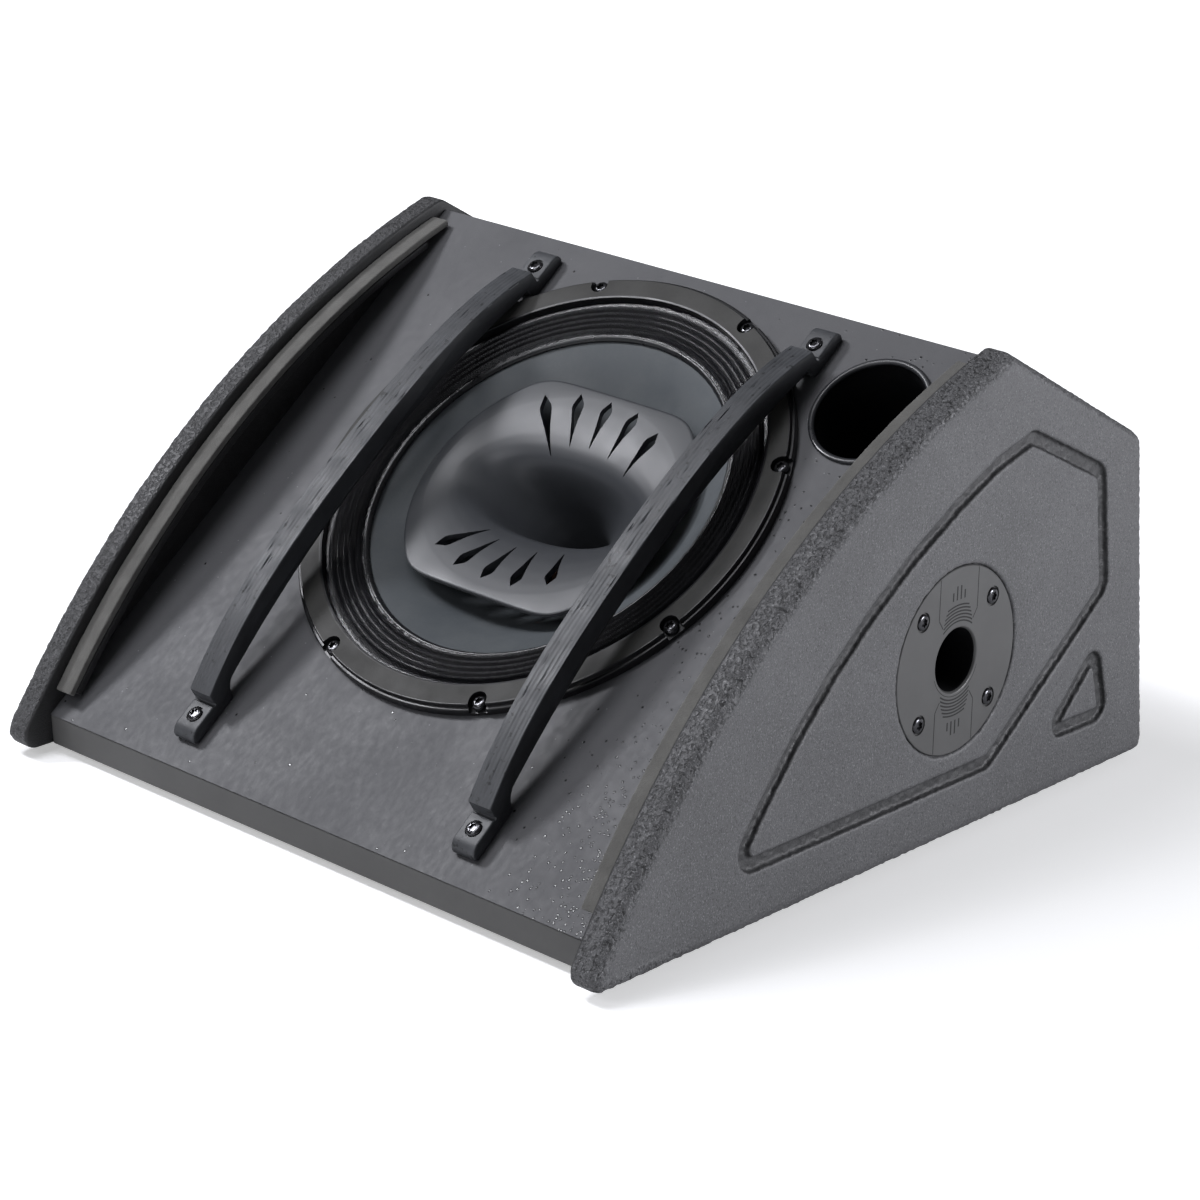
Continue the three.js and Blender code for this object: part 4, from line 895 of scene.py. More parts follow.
def screw(name, M_, r, top, shank_r, bottom, head_h, recess=True, dome=True, washer=None, seg=40, lobes=6, counter=False):
    """A machine-made screw: domed head, star recess, shank."""
    if counter:
        prof = [(0, bottom), (shank_r, bottom), (shank_r, top - 2.3), (r - 0.15, top - 0.25), (r, top - 0.12), (r - 0.2, top), (0, top)]
    else:
        prof = [(0, bottom), (shank_r, bottom), (shank_r, top - head_h)]
        if washer:
            prof += [(washer, top - head_h), (washer, top - head_h + 0.7), (washer - 0.35, top - head_h + 0.9), (r + 0.1, top - head_h + 0.95)]
        else:
            prof += [(r, top - head_h)]
        prof += [(r, top - head_h * 0.55), (r * 0.95, top - head_h * 0.32), (r * 0.82, top - head_h * 0.14), (r * 0.6, top - head_h * 0.03), (0, top)]
    ob = lathe(name, prof, seg, M_)
    if recess:
        star = []
        for i in range(lobes * 4):
            a = 2 * math.pi * i / (lobes * 4)
            rr = r * 0.52 * (1 + 0.2 * math.cos(lobes * a))
            star.append((rr * math.cos(a), rr * math.sin(a)))
        boolean(ob, [slab("c", star, top - max(1.3, head_h * 0.55), top + 2, M=M_)])
    return ob


for i, (x, y) in enumerate(AMP_SCREWS):
    ob = screw(f"amp_screw_{i + 1}_head", REARF @ Matrix.Translation((x, y, 0)), 4, AMP_FACE + 2.6, 1.8, -36, 2.2)
    finish_piece(ob, "bare_steel", [f"amp_screw_{i + 1}"])


def xlr(name, x, y, male):
    ob = slab(name, rrect(x - 13, x + 13, y - 15.5, y + 15.5, 2.5, 6), AMP_FACE + 0.3, AMP_FACE + 2.3, 0.1, 0.6, 3, REARF)
    ring = lathe("c", [(0, -46), (11.7, -46), (11.7, AMP_FACE + 1), (11.3, AMP_FACE + 2.6), (11.0, AMP_FACE + 3.0), (10.6, AMP_FACE + 3.2), (0, AMP_FACE + 3.2)],
                 64, REARF @ Matrix.Translation((x, y, 0)))
    boolean(ob, [ring], "UNION")
    cut = [lathe("c", [(0, -5), (2.4, -5), (1.5, AMP_FACE + 1.2), (1.5, AMP_FACE + 0.4), (0, AMP_FACE + 0.4)], 24,
                 REARF @ Matrix.Translation((x + sx * 9.7, y + sy * 12.2, 0))) for sx, sy in ((1, -1), (-1, 1))]
    if male:
        cut.append(rod("c", 9.2, -36, 0, x, y, 64, REARF))
        cut.append(block("c", x - 2, x + 2, y - 11, y - 8, -36, 0, REARF))
        boolean(ob, cut)
        pins = []
        for k in range(3):
            a = rad(-90 + 120 * k + 30)
            pins.append(lathe("p", [(0, -38), (1.3, -38), (1.3, -23.8), (0.8, -23.1), (0, -23)], 24,
                              REARF @ Matrix.Translation((x + 4.6 * math.cos(a), y + 4.6 * math.sin(a), 0))))
        boolean(ob, pins, "UNION")
    else:
        for k in range(3):
            a = rad(90 + 120 * k + 30)
            cut.append(rod("c", 1.6, -40, 0, x + 4.6 * math.cos(a), y + 4.6 * math.sin(a), 24, REARF))
        cut.append(lathe("c", [(10.2, 0), (10.2, -30), (9.3, -30), (9.3, 0)], 64, REARF @ Matrix.Translation((x, y, 0))))
        cut.append(block("c", x - 4, x + 4, y + 9, y + 14, -30, 0, REARF))
        boolean(ob, cut)
    return ob


finish_piece(xlr("input_xlr_shell", *XLR_IN, False), "black_plastic", ["input_xlr"], smooth_normals=True)
finish_piece(xlr("link_xlr_shell", *XLR_OUT, True), "black_plastic", ["link_xlr"], smooth_normals=True)
x, y = XLR_IN
ob = slab("input_latch_tab", rrect(x - 3.6, x + 3.6, y + 9.4, y + 13.6, 1.0, 4), -27, AMP_FACE + 4.2, 0.2, 0.8, 3, REARF)
finish_piece(ob, "bare_steel", ["input_latch"], body="latch_body", smooth_normals=True)

x, y = INLET
ob = slab("power_inlet_shell", rrect(x - 31, x + 31, y - 15, y + 15, 3, 8), AMP_FACE + 0.3, AMP_FACE + 2.6, 0.1, 0.8, 3, REARF)
boolean(ob, [block("c", x - 27, x + 27, y - 12, y + 12, -50, AMP_FACE + 1, REARF)], "UNION")
iec = [(x - 23, y + 8.5), (x - 23, y - 4.5), (x - 19, y - 8.5), (x - 1, y - 8.5), (x + 3, y - 4.5), (x + 3, y + 8.5)]
boolean(ob, [slab("c", list(reversed(iec)), -44, 10, M=REARF), block("c", ROCKER_X - 5.6, ROCKER_X + 5.6, y - 11, y + 11, -44, 10, REARF)])
boolean(ob, [block("c", x + dx - 1, x + dx + 1, y + dy - 2, y + dy + 2, -46, -30, REARF) for dx, dy in ((-17, -1.5), (-10, 1.5), (-3, -1.5))], "UNION")
bevel(ob, 0.35, 2)
finish_piece(ob, "black_plastic", ["power_inlet"], smooth_normals=True)

ROCK = REARF @ Matrix.Translation((0, INLET[1], -24)) @ Matrix.Rotation(rad(8), 4, "X") @ Matrix(((0, 0, 1, 0), (1, 0, 0, 0), (0, 1, 0, 0), (0, 0, 0, 1)))
pts = [(9.4, 6.2), (7.5, 6.0), (5.0, 5.4), (2.0, 4.75), (0, 4.6), (-2.0, 4.75), (-5.0, 5.4), (-7.5, 6.0), (-9.4, 6.2), (-8.6, -3.5), (8.6, -3.5)]
ob = slab("power_rocker_cap", pts, ROCKER_X - 5.1, ROCKER_X + 5.1, 0.5, 0.5, 3, ROCK, 30)
dot = lathe("c", [(1.4, 5.0), (1.4, 12), (2.0, 12), (2.0, 5.0)], 32, REARF @ Matrix.Translation((ROCKER_X, INLET[1], -24)) @ Matrix.Rotation(rad(8), 4, "X") @ Matrix.Translation((0, -5.6, 0)))
boolean(ob, [dot])
finish_piece(ob, "knob_plastic", ["power_rocker"], body="rocker_body")

x, y = KNOB
KM = REARF @ Matrix.Translation((x, y, 0))
seg = 144
verts, faces = [], []
prof = [(3, -33), (3, AMP_FACE + 0.8), (9.6, AMP_FACE + 0.8), (9.45, AMP_FACE + 2.4), (9.1, AMP_FACE + 4), (8.1, AMP_FACE + 12.2), (7.7, AMP_FACE + 13.0), (6.9, AMP_FACE + 13.4)]
for r, h in prof:
    for i in range(seg):
        a = 2 * math.pi * i / seg
        flute = 0.42 * (0.5 + 0.5 * math.cos(24 * a)) ** 2 if AMP_FACE + 3.5 < h < AMP_FACE + 12.6 else 0
        verts.append(((r - flute) * math.cos(a), (r - flute) * math.sin(a), h))
for k in range(len(prof) - 1):
    for i in range(seg):
        j = (i + 1) % seg
        faces.append((k * seg + i, k * seg + j, (k + 1) * seg + j, (k + 1) * seg + i))
faces += [tuple(reversed(range(seg))), tuple(range((len(prof) - 1) * seg, len(prof) * seg))]
ob = build("level_knob_cap", verts, faces, KM, 40)
boolean(ob, [block("c", -0.7, 0.7, 2, 12, AMP_FACE + 12.6, AMP_FACE + 20, KM)])
finish_piece(ob, "knob_plastic", ["level_knob"], body="level_knob_body")

ob = lathe("preset_button_cap", [(0, -33), (4, -33), (4, AMP_FACE + 3.5), (3.85, AMP_FACE + 3.9), (3.4, AMP_FACE + 4.2), (1.6, AMP_FACE + 3.9), (0, AMP_FACE + 3.8)], 48,
           REARF @ Matrix.Translation((*BUTTON, 0)))
finish_piece(ob, "knob_plastic", ["preset_button"], body="preset_button_body")

# ------------------------------------------------------------------ port
prof = [(PORT_IN + 0.6, -0.8), (PORT_IN + 0.15, 0.2), (PORT_IN + 0.3, 1.2), (PORT_IN + 1.0, 2.0), (PORT_IN + 1.9, 2.2), (PORT_LIP - 0.9, 2.2), (PORT_LIP - 0.25, 1.8),
        (PORT_LIP, 1.2), (PORT_LIP, 0.3), (PORT_OUT, 0.3), (PORT_OUT, -PORT_DEPTH), (PORT_IN, -PORT_DEPTH), (PORT_IN, -6)]
ob = lathe("port_tube_lip", prof, 128, BAF @ Matrix.Translation((PORT_U, PORT_V, 0)), 50)
finish_piece(ob, "port_plastic", ["port_tube"])
c_ = polygon_centres(ob, BAF @ Matrix.Translation((PORT_U, PORT_V, 0)))
# Painted shade inside the port tube.
second_material(ob, "hole_painted_shade", (np.hypot(c_[:, 0], c_[:, 1]) < PORT_IN + 0.4) & (c_[:, 2] < -0.2))

# ------------------------------------------------------------------ grille bars
def bar_top(v):
    return 40.5 - 4.4255e-4 * (v - 206.0) ** 2 - 1.588e-8 * (v - 206.0) ** 4


UND_V, UND_R, UND_T = 204.0, 730.0, 25.8
BAR_V0, BAR_V1 = 40.4, 371.9


def bar_under(v):
    h = UND_T - UND_R + math.sqrt(UND_R ** 2 - (v - UND_V) ** 2)
    return max(h, 9.6 if v > 290 else 1.2)


sec = [(18.6, 0.3), (17.1, 0.9), (16.5, 2.2), (16.6, 3.9), (17.3, 5.6), (18.5, 7.0), (20.3, 8.05), (22.6, TAB_T), (38.6, TAB_T), (39.5, TAB_T + 0.25), (40.1, TAB_T + 1.1)]
for i in range(0, 85):
    v = BAR_V0 + i * (BAR_V1 - BAR_V0) / 84
    sec.append((v, bar_top(v) - 0.2))
sec += [(372.2, TAB_T + 1.1), (372.8, TAB_T + 0.25), (373.7, TAB_T), (389.6, TAB_T), (391.9, 8.05), (393.7, 7.0), (394.9, 5.6), (395.6, 3.9), (395.6, 2.2), (394.9, 0.9), (393.4, 0.3), (366.4, 0.3), (364.6, 1.4), (363.8, 3.4), (363.4, 9.0)]
for i in range(0, 64):
    v = 360 - i * (360 - 62) / 63
    sec.append((v, bar_under(v)))
sec += [(58.4, 11.0), (55.6, 8.9), (53.8, 6.3), (52.7, 3.2), (52.2, 0.3)]
sec = resample(sec, 5.0)
NX = 41
edge_r = 1.3


def bar(name, sign):
    p = np.array(sec)
    top_line = np.array([bar_top(max(BAR_V0, min(BAR_V1, v))) for v in p[:, 0]])
    verts, faces, k = [], [], len(p)
    xs = np.linspace(-BAR_W / 2, BAR_W / 2, NX)
    for xi, xx in enumerate(xs):
        d_edge = BAR_W / 2 - abs(xx)
        inset = edge_r - math.sqrt(max(0, edge_r ** 2 - (edge_r - min(d_edge, edge_r)) ** 2))
        ring = offset(p, -inset)
        for q, (v, h) in enumerate(ring):
            outer = p[q, 1] > top_line[q] - 1.2 and BAR_V0 + 0.3 < p[q, 0] < BAR_V1 - 0.3
            s = 0.0
            if outer and d_edge > 0.4:
                # Lengthwise plies: seven layers of alternating wear, each one wandering a little.
                w = xx + 0.35 * math.sin(v * 0.021 + sign) + 0.25 * noise.noise(Vector((v * 0.02, sign * 5.0, 0.3)))
                ply = 0.5 + 0.5 * math.cos(2 * math.pi * w / 2.9)
                nz = noise.fractal(Vector((v * 0.07, w * 1.1, sign * 3.0)), 1.0, 2.0, 3)
                s = -0.42 * (1 - ply) ** 1.5 * (0.55 + 0.6 * abs(nz)) + 0.12 * nz
                chip = noise.noise(Vector((v * 0.11, w * 0.9, 7.0 + sign)))
                if chip > 0.42:
                    s -= (chip - 0.42) * 2.6
            verts.append((sign * BAR_U + xx, v, h + max(-1.4, min(0.12, s))))
    for a in range(NX - 1):
        for b in range(k):
            c = (b + 1) % k
            faces.append((a * k + b, a * k + c, (a + 1) * k + c, (a + 1) * k + b))
    faces.append(tuple(reversed(range(k))))
    faces.append(tuple(range((NX - 1) * k, NX * k)))
    ob = build(name, verts, faces, BAF, 50)
    cut = []
    for v in BAR_SCREW_V:
        cut.append(rod("c", 2.8, -5, 20, sign * BAR_U, v, 32, BAF))
        cut.append(rod("c", 5.3, TAB_T - 1.2, 20, sign * BAR_U, v, 48, BAF, 5.9))
    # The saw runs past the step: a small notch where the arch meets each tab.
    for v in (39.6, 372.7):
        cut.append(slab("c", circle(v, TAB_T + 0.3, 1.2, 16), sign * BAR_U - 12, sign * BAR_U + 12, M=YZB))
    boolean(ob, cut, angle=45)
    return ob


for nm, sg in (("left", -1), ("right", 1)):
    ob = finish_piece(bar(nm + "_grille_bar_ply", sg), "bar_stain", [nm + "_grille_bar"])
    n_ = np.zeros(len(ob.data.polygons) * 3)
    ob.data.polygons.foreach_get("normal", n_)
    # Painted shade on the flat sides of the bar.
    second_material(ob, "bar_side_shade", np.abs(n_.reshape(-1, 3)[:, 0]) > 0.8)
    for i, v in enumerate(BAR_SCREW_V):
        node = f"{nm}_bar_screw_{'upper' if i else 'lower'}"
        ob = screw(node + "_head", BAF @ Matrix.Translation((sg * BAR_U, v, 0)) @ Matrix.Rotation(0.4 + i + sg, 4, "Z"), 4.7, TAB_T + 1.6, 2.2, -11, 2.5, seg=48)
        finish_piece(ob, "black_screw", [node])

# ------------------------------------------------------------------ foam strips
def foam(name, sign):
    a0, a1 = FOAM_A[0] + 0.001, FOAM_A[1] - 0.001
    x1 = HALF_W - SIDE_T - 0.4
    n_len, nx, nz = 560, 22, 7
    top, bot = ARC_R - FOAM_BELOW, ARC_R - FOAM_BELOW - FOAM_T
    r = 0.9
    sec_ = []
    pts_ = rrect(0, FOAM_W, 0, FOAM_T, r, 4)
    pts_ = resample(pts_, 0.8)
    k = len(pts_)
    verts, faces = [], []
    for i in range(n_len + 1):
        a = a0 + (a1 - a0) * i / n_len
        end = min(i, n_len - i)
        shrink = 0.35 if end == 0 else 0.0
        for (px, pz) in pts_:
            cx, cz = FOAM_W / 2, FOAM_T / 2
            qx = cx + (px - cx) * (1 - shrink / FOAM_W * 2)
            qz = cz + (pz - cz) * (1 - shrink / FOAM_T * 2)
            s = a * ARC_R
            nn = noise.fractal(Vector((s * 0.9, px * 0.9, pz * 0.9 + sign)), 1.0, 2.0, 2)
            wav = noise.noise(Vector((s * 0.03, sign * 2.0, 0.5))) * 0.35 + noise.noise(Vector((s * 0.012, 4.0, sign))) * 0.3
            d = 0.16 * nn
            dx, dz = (px - cx) / (FOAM_W / 2), (pz - cz) / (FOAM_T / 2)
            qx += d * dx * (1 if abs(dx) > 0.85 else 0)
            qz += (d * (1 if dz > 0 else 0) + (wav * 0.6 - 0.25) * max(0, dz))
            rr = bot + max(0.0, min(FOAM_T + 0.2, qz))
            xx = x1 - FOAM_W + qx
            verts.append((sign * xx, ARC_Y + rr * math.cos(a), ARC_Z + rr * math.sin(a)))
    for i in range(n_len):
        for j in range(k):
            q = (j + 1) % k
            faces.append((i * k + j, i * k + q, (i + 1) * k + q, (i + 1) * k + j))
    faces.append(tuple(reversed(range(k))))
    faces.append(tuple(range(n_len * k, (n_len + 1) * k)))
    return build(name, verts, faces, CAB, 50)


finish_piece(foam("right_foam_tape", 1), "grey_foam", ["right_foam_strip"])
finish_piece(foam("left_foam_tape", -1), "grey_foam", ["left_foam_strip"])

# ------------------------------------------------------------------ coaxial driver
prof = [(FRAME_R - 0.4, 0.3), (FRAME_R, 0.7), (FRAME_R, 4.4), (FRAME_R - 0.3, 4.9), (FRAME_R - 0.8, 5.1), (FRAME_R - 1.9, 5.1), (FRAME_R - 2.1, 5.3),
        (FRAME_R - 2.25, FRAME_TOP - 0.7), (FRAME_R - 2.5, FRAME_TOP - 0.2), (FRAME_R - 3.0, FRAME_TOP), (FRAME_INNER + 1.6, FRAME_TOP), (FRAME_INNER + 1.2, FRAME_TOP - 0.15), (FRAME_INNER + 0.3, FRAME_TOP - 0.25), (FRAME_INNER, FRAME_TOP - 0.8),
        (FRAME_INNER, 1.7), (134.8, 1.7), (127, -12), (89, -51), (86.5, -60.2), (73, -60.2), (73, -62.5), (80, -63.5), (80, -75.5), (46, -75.5), (46, -78),
        (84, -78), (84, -66), (93.5, -52), (131, -13.5), (140.8, 0.3)]
ob = lathe("woofer_frame_casting", prof, 192, DRV, 35)
cut = []
for i in range(8):
    t = DRV @ Matrix.Rotation(rad(45 * i), 4, "Z")
    cut.append(block("c", 70, 150, -27, 27, -48, -17, t))
    t = DRV @ Matrix.Rotation(SCREW_A[i], 4, "Z")
    # Screw pocket: a round-ended slot open to the rim.
    pocket = [(170, -5.6), (170, 5.6)] + [(SCREW_R + 5.6 * math.cos(a_), 5.6 * math.sin(a_)) for a_ in np.linspace(math.pi / 2, 3 * math.pi / 2, 25)]
    cut.append(slab("c", pocket, 2.6, 20, M=t))
    cut.append(rod("c", 2.8, -5, 5, SCREW_R, 0, 24, t))
boolean(ob, cut)
bevel(ob, 0.25, 2, 50)
finish_piece(ob, "frame_paint", ["woofer_frame"], smooth_normals=True)
c_ = polygon_centres(ob, DRV)
r_ = np.hypot(c_[:, 0], c_[:, 1])
near = np.min(np.array([np.hypot(c_[:, 0] - SCREW_R * math.cos(a), c_[:, 1] - SCREW_R * math.sin(a)) for a in SCREW_A]), 0)
# Near-black for the stepped outer rim, and painted shade in the screw pockets, at the inner edge by the surround and
# below 1.6 mm.
second_material(ob, "rim_black_and_shade", ((r_ > FRAME_R - 2.9) & (c_[:, 2] > 0)) | ((r_ < 142.4) & (c_[:, 2] < FRAME_TOP + 1)) | ((near < 8.0) & (c_[:, 2] < FRAME_TOP - 0.4) & (c_[:, 2] > 0)) | (c_[:, 2] < 1.6))

for i, a in enumerate(SCREW_A):
    t = DRV @ Matrix.Translation((SCREW_R * math.cos(a), SCREW_R * math.sin(a), 0)) @ Matrix.Rotation(i * 0.7, 4, "Z")
    ob = screw(f"frame_screw_{i + 1}_head", t, 4.5, 6.4, 2.2, -11, 3.4, seg=48)
    finish_piece(ob, "black_screw", [f"frame_screw_{i + 1}"])

# surround: pleated cloth, doped, between the frame and the cone
SUR = [(140.6, 3.2), (139.2, 3.35), (137.9, 3.0)]
for i in range(5):
    r = 137.0 - i * 3.9
    SUR += [(r, 2.5 - 0.32 * i), (r - 0.7, 3.9 - 0.34 * i), (r - 1.35, 5.2 - 0.36 * i), (r - 1.75, 5.6 - 0.37 * i), (r - 2.2, 5.1 - 0.38 * i), (r - 2.8, 3.6 - 0.4 * i), (r - 3.4, 2.3 - 0.42 * i)]
SUR += [(116.9, 0.9), (116.2, 0.5)]


def pleats(name):
    seg = 480
    th = 0.7
    up = SUR
    dn = [(r, h - th) for r, h in reversed(SUR)]
    prof_ = up + dn
    verts, faces = [], []
    for r, h in prof_:
        for i in range(seg):
            a = 2 * math.pi * i / seg
            c, s = math.cos(a), math.sin(a)
            w = noise.noise(Vector((c * r * 0.16, s * r * 0.16, h * 0.3)))
            f = noise.noise(Vector((c * r * 0.8, s * r * 0.8, 3.0)))
            verts.append(((r + 0.12 * w) * c, (r + 0.12 * w) * s, h + 0.10 * f + 0.08 * w))
    n = len(prof_)
    for k in range(n):
        kk = (k + 1) % n
        for i in range(seg):
            j = (i + 1) % seg
            faces.append((k * seg + i, k * seg + j, kk * seg + j, kk * seg + i))
    return build(name, verts, faces, DRV, 80)


def flex(ob):
    """Bakes the transform and works out the positions in the driver's frame, which are not used; nothing bends."""
    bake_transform(ob)
    inv = np.array(DRV.inverted())
    loc = coords(ob) @ inv[:3, :3].T + inv[:3, 3]


ob = pleats("woofer_surround_pleats")
ob.data.materials.append(M["doped_cloth"])
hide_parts("woofer_surround")
flex(ob)

# cone: slightly bowed flare, with the glue line at its edge
cone = []
for i in range(0, 41):
    t = i / 40
    r = 116.9 - t * (116.9 - 34)
    cone.append((r, -0.9 - 54.1 * (t ** 1.06) + 3.2 * math.sin(math.pi * t) * 0.6))
prof = cone + [(r, h - 1.2) for r, h in reversed(cone)]
ob = lathe("woofer_cone_body", prof, 256, DRV, 80)
finish_piece(ob, "cone_paper", ["woofer_cone"], body="woofer_moving")
bead = [(117.2, 0.45), (116.6, 0.95), (115.8, 0.95), (114.9, 0.4), (114.2, -0.5), (113.7, -1.5), (114.2, -2.2), (115.4, -1.6), (116.8, -0.9), (117.4, -0.2)]
ob = lathe("woofer_cone_glue_line", bead, 256, DRV, 80)
roughen(ob, 0.12, 260, 2, 1.0)
finish_piece(ob, "cone_paper", [], body="woofer_moving", mat="glue")

# spider
sp = []
for i in range(0, 42):
    r = 75.8 - i
    sp.append((r, -58.6 + 0.9 * math.sin(i * 0.75) * (1 if 2 < i < 39 else 0)))
ob = lathe("woofer_spider_cloth", sp + [(r, h - 0.8) for r, h in reversed(sp)], 96, DRV, 80)
ob.data.materials.append(M["spider_cloth"])
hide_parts("woofer_spider")
flex(ob)

# horn: clipped round flange that flows into the throat
def smooth(a, b, x_):
    t = max(0.0, min(1.0, (x_ - a) / (b - a)))
    return t * t * (3 - 2 * t)


def flange_radius(a, margin=0.0):
    """Radius of the flange's outline, a circle clipped above and below with rounded corners."""
    c, s = abs(math.cos(a)), abs(math.sin(a))
    rc = HORN_R - margin
    rk = (HORN_HALF - margin) / max(s, 1e-6)
    k = 26.0
    return (rc ** -k + rk ** -k) ** (-1 / k)


# Half width, half height and exponent of the mouth's outline at each depth.
FUN = [(86, 71, -2.5, 2.05), (83, 62, -3.0, 2.05), (79, 52.5, -3.9, 2.1), (74.5, 43, -5.3, 2.1), (70, 34.5, -7.3, 2.15), (64.5, 28, -10.2, 2.2), (57.5, 25, -14.5, 2.2), (49, 22.6, -20.8, 2.2), (40, 20.5, -28.8, 2.2),
       (31, 18.4, -37.8, 2.15), (23.5, 16.7, -47, 2.1), (17.6, 15, -57, 2.0), (13.8, 13.6, -68.5, 2.0), (13, 13, -78.3, 2.0)]


def horn(name):
    seg = 288
    rings = []

    def ring(f):
        rings.append([f(2 * math.pi * i / seg) for i in range(seg)])

    T = 3.3
    # underside of the flange, rim, top, funnel inside, lip at the throat, funnel outside
    for m_, h in ((9.0, HORN_TOP - T), (0.7, HORN_TOP - T), (0.15, HORN_TOP - T + 0.25), (0.0, HORN_TOP - T + 0.8), (0.0, HORN_TOP - 0.9), (0.15, HORN_TOP - 0.35), (0.75, HORN_TOP - 0.05), (1.6, HORN_TOP)):
        ring(lambda a, m_=m_, h=h: (flange_radius(a, m_) * math.cos(a), flange_radius(a, m_) * math.sin(a), h))
    fun = np.array(FUN, float)
    # even steps along the profile
    cum = np.r_[0, np.cumsum(np.hypot(np.diff(fun[:, 1]), np.diff(fun[:, 2])))]
    steps = [[float(np.interp(t * cum[-1], cum, fun[:, k])) for k in range(4)] for t in np.linspace(0, 1, 64)]
    for _ in range(2):
        steps = [steps[0]] + [[(steps[i - 1][k] + 2 * steps[i][k] + steps[i + 1][k]) / 4 for k in range(4)] for i in range(1, len(steps) - 1)] + [steps[-1]]

    def shaped(hx, hy, h, e, a, grow=0.0):
        c, s = math.cos(a), math.sin(a)
        r = (abs(c / hx) ** e + abs(s / hy) ** e) ** (-1 / e) + grow
        lim = flange_radius(a, 1.9)
        r = min(r, lim)
        return (r * c, r * s, h)

    # land between rim and mouth keeps flat
    ring(lambda a: tuple((np.array([flange_radius(a, 1.6) * math.cos(a), flange_radius(a, 1.6) * math.sin(a), HORN_TOP]) * 0.5
                          + np.array(shaped(86.2, 71.2, HORN_TOP, 2.05, a)) * 0.5)))
    for hx, hy, h, e in steps:
        ring(lambda a, hx=hx, hy=hy, h=h, e=e: shaped(hx, hy, h, e, a))

    def outside(r, h):
        ring(lambda a: (r * math.cos(a), r * math.sin(a), h))

    outside(24, -78.3)
    outside(24, -75.8)
    outside(17.2, -73)
    outside(17.2, -60)
    for hx, hy, h, e in reversed(steps):
        if -58 < h < -8.2:
            g = 1.6 + 1.2 * (1 - smooth(-58, -20, h))
            ring(lambda a, hx=hx, hy=hy, h=h, e=e, g=g: shaped(hx, hy, h - 1.4, e, a, g))
    ring(lambda a: shaped(75.5, 43, -9.6, 2.1, a, 0.0))
    ring(lambda a: shaped(81, 58, -7.4, 2.05, a, 0.0))
    verts, faces = [], []
    for rg in rings:
        verts += rg
    n = len(rings)
    for k in range(n):
        kk = (k + 1) % n
        for i in range(seg):
            j = (i + 1) % seg
            faces.append((k * seg + i, k * seg + j, kk * seg + j, kk * seg + i))
    ob = build(name, verts, faces, DRV, 40)
    return ob


SLOTS = [((-49.5, 62.3), (-22.3, 27.7)), ((-25.8, 70.0), (-12.2, 35.8)), ((-2.0, 70.7), (1.8, 38.1)), ((20.4, 69.2), (18.1, 35.4)), ((42.4, 60.2), (34.8, 28.2)),
         ((-49.5, -54.6), (-25.0, -30.9)), ((-27.9, -63.1), (-13.6, -35.2)), ((-4.4, -65.1), (1.0, -36.7)), ((18.3, -63.8), (16.2, -35.3)), ((40.4, -55.3), (33.8, -31.0))]
ob = horn("horn_waveguide")
cut = []
for (u0, v0), (u1, v1) in SLOTS:
    d = Vector((u0 - u1, v0 - v1))
    ln = d.length
    d.normalize()
    n_ = Vector((-d.y, d.x))
    w = 3.9
    prof_ = [(0.0, 0.0), (0.04, 0.09), (0.2, 0.24), (0.45, 0.52), (0.62, 0.82), (0.73, 1.0), (0.8, 0.96), (0.9, 0.5), (0.97, 0.14), (1.0, 0.0)]
    pts_ = [(t, k_) for t, k_ in prof_] + [(t, -k_) for t, k_ in reversed(prof_[1:-1])]
    poly = [(u1 + d.x * ln * t + n_.x * w * k_, v1 + d.y * ln * t + n_.y * w * k_) for t, k_ in pts_]
    cut.append(slab("c", poly, -34, 5, M=DRV))
boolean(ob, cut, angle=40)
finish_piece(ob, "horn_plastic", ["horn"])

# ------------------------------------------------------------------ pole plate
PP = SIDE @ Matrix.Translation((POLE_Y, POLE_Z, 0))
face, back = HALF_W - 0.6, HALF_W - 3.1
prof = [(POLE_R - 0.3, back), (POLE_R, back + 0.3), (POLE_R, face - 0.45), (POLE_R - 0.45, face), (19.9, face), (19.2, face - 0.35), (18.4, face - 1.4), (18.1, face - 3.0), (18.1, HALF_W - 85.0),
        (0, HALF_W - 85.0), (0, HALF_W - 88.0), (22.2, HALF_W - 88.0), (22.2, back)]
ob = lathe("pole_plate_disc", prof, 160, PP, 30)
cut = [rod("c", 2.4, -20, face + 2, seg=24, M=SIDE @ Matrix.Translation((y, z, 0))) for y, z in POLE_SCREWS]
cut += [rod("c", 5.7, face - 1.3, face + 2, seg=48, M=SIDE @ Matrix.Translation((y, z, 0)), r2=6.1) for y, z in POLE_SCREWS]
boolean(ob, cut)
finish_piece(ob, "pole_plate_metal", ["pole_plate"], smooth_normals=True)
c_ = polygon_centres(ob, PP)
# Painted shade inside the pole socket.
second_material(ob, "hole_painted_shade", (np.hypot(c_[:, 0], c_[:, 1]) < 18.3) & (c_[:, 2] < face - 2.0))

# Engraved scale marks: plain arcs and ticks above and below the socket, and two scribed lines.
marks = []


def arc_mark(r, w, a0, a1, n=40):
    pts_ = [(r * math.cos(a0 + (a1 - a0) * i / n), r * math.sin(a0 + (a1 - a0) * i / n)) for i in range(n + 1)]
    pts_ += [((r - w) * math.cos(a1 + (a0 - a1) * i / n), (r - w) * math.sin(a1 + (a0 - a1) * i / n)) for i in range(n + 1)]
    return pts_


def stroke(p, q, w):
    d_ = Vector((q[0] - p[0], q[1] - p[1])).normalized() * (w / 2)
    n_ = (-d_.y, d_.x)
    return [(p[0] - n_[0], p[1] - n_[1]), (q[0] - n_[0], q[1] - n_[1]), (q[0] + n_[0], q[1] + n_[1]), (p[0] + n_[0], p[1] + n_[1])]


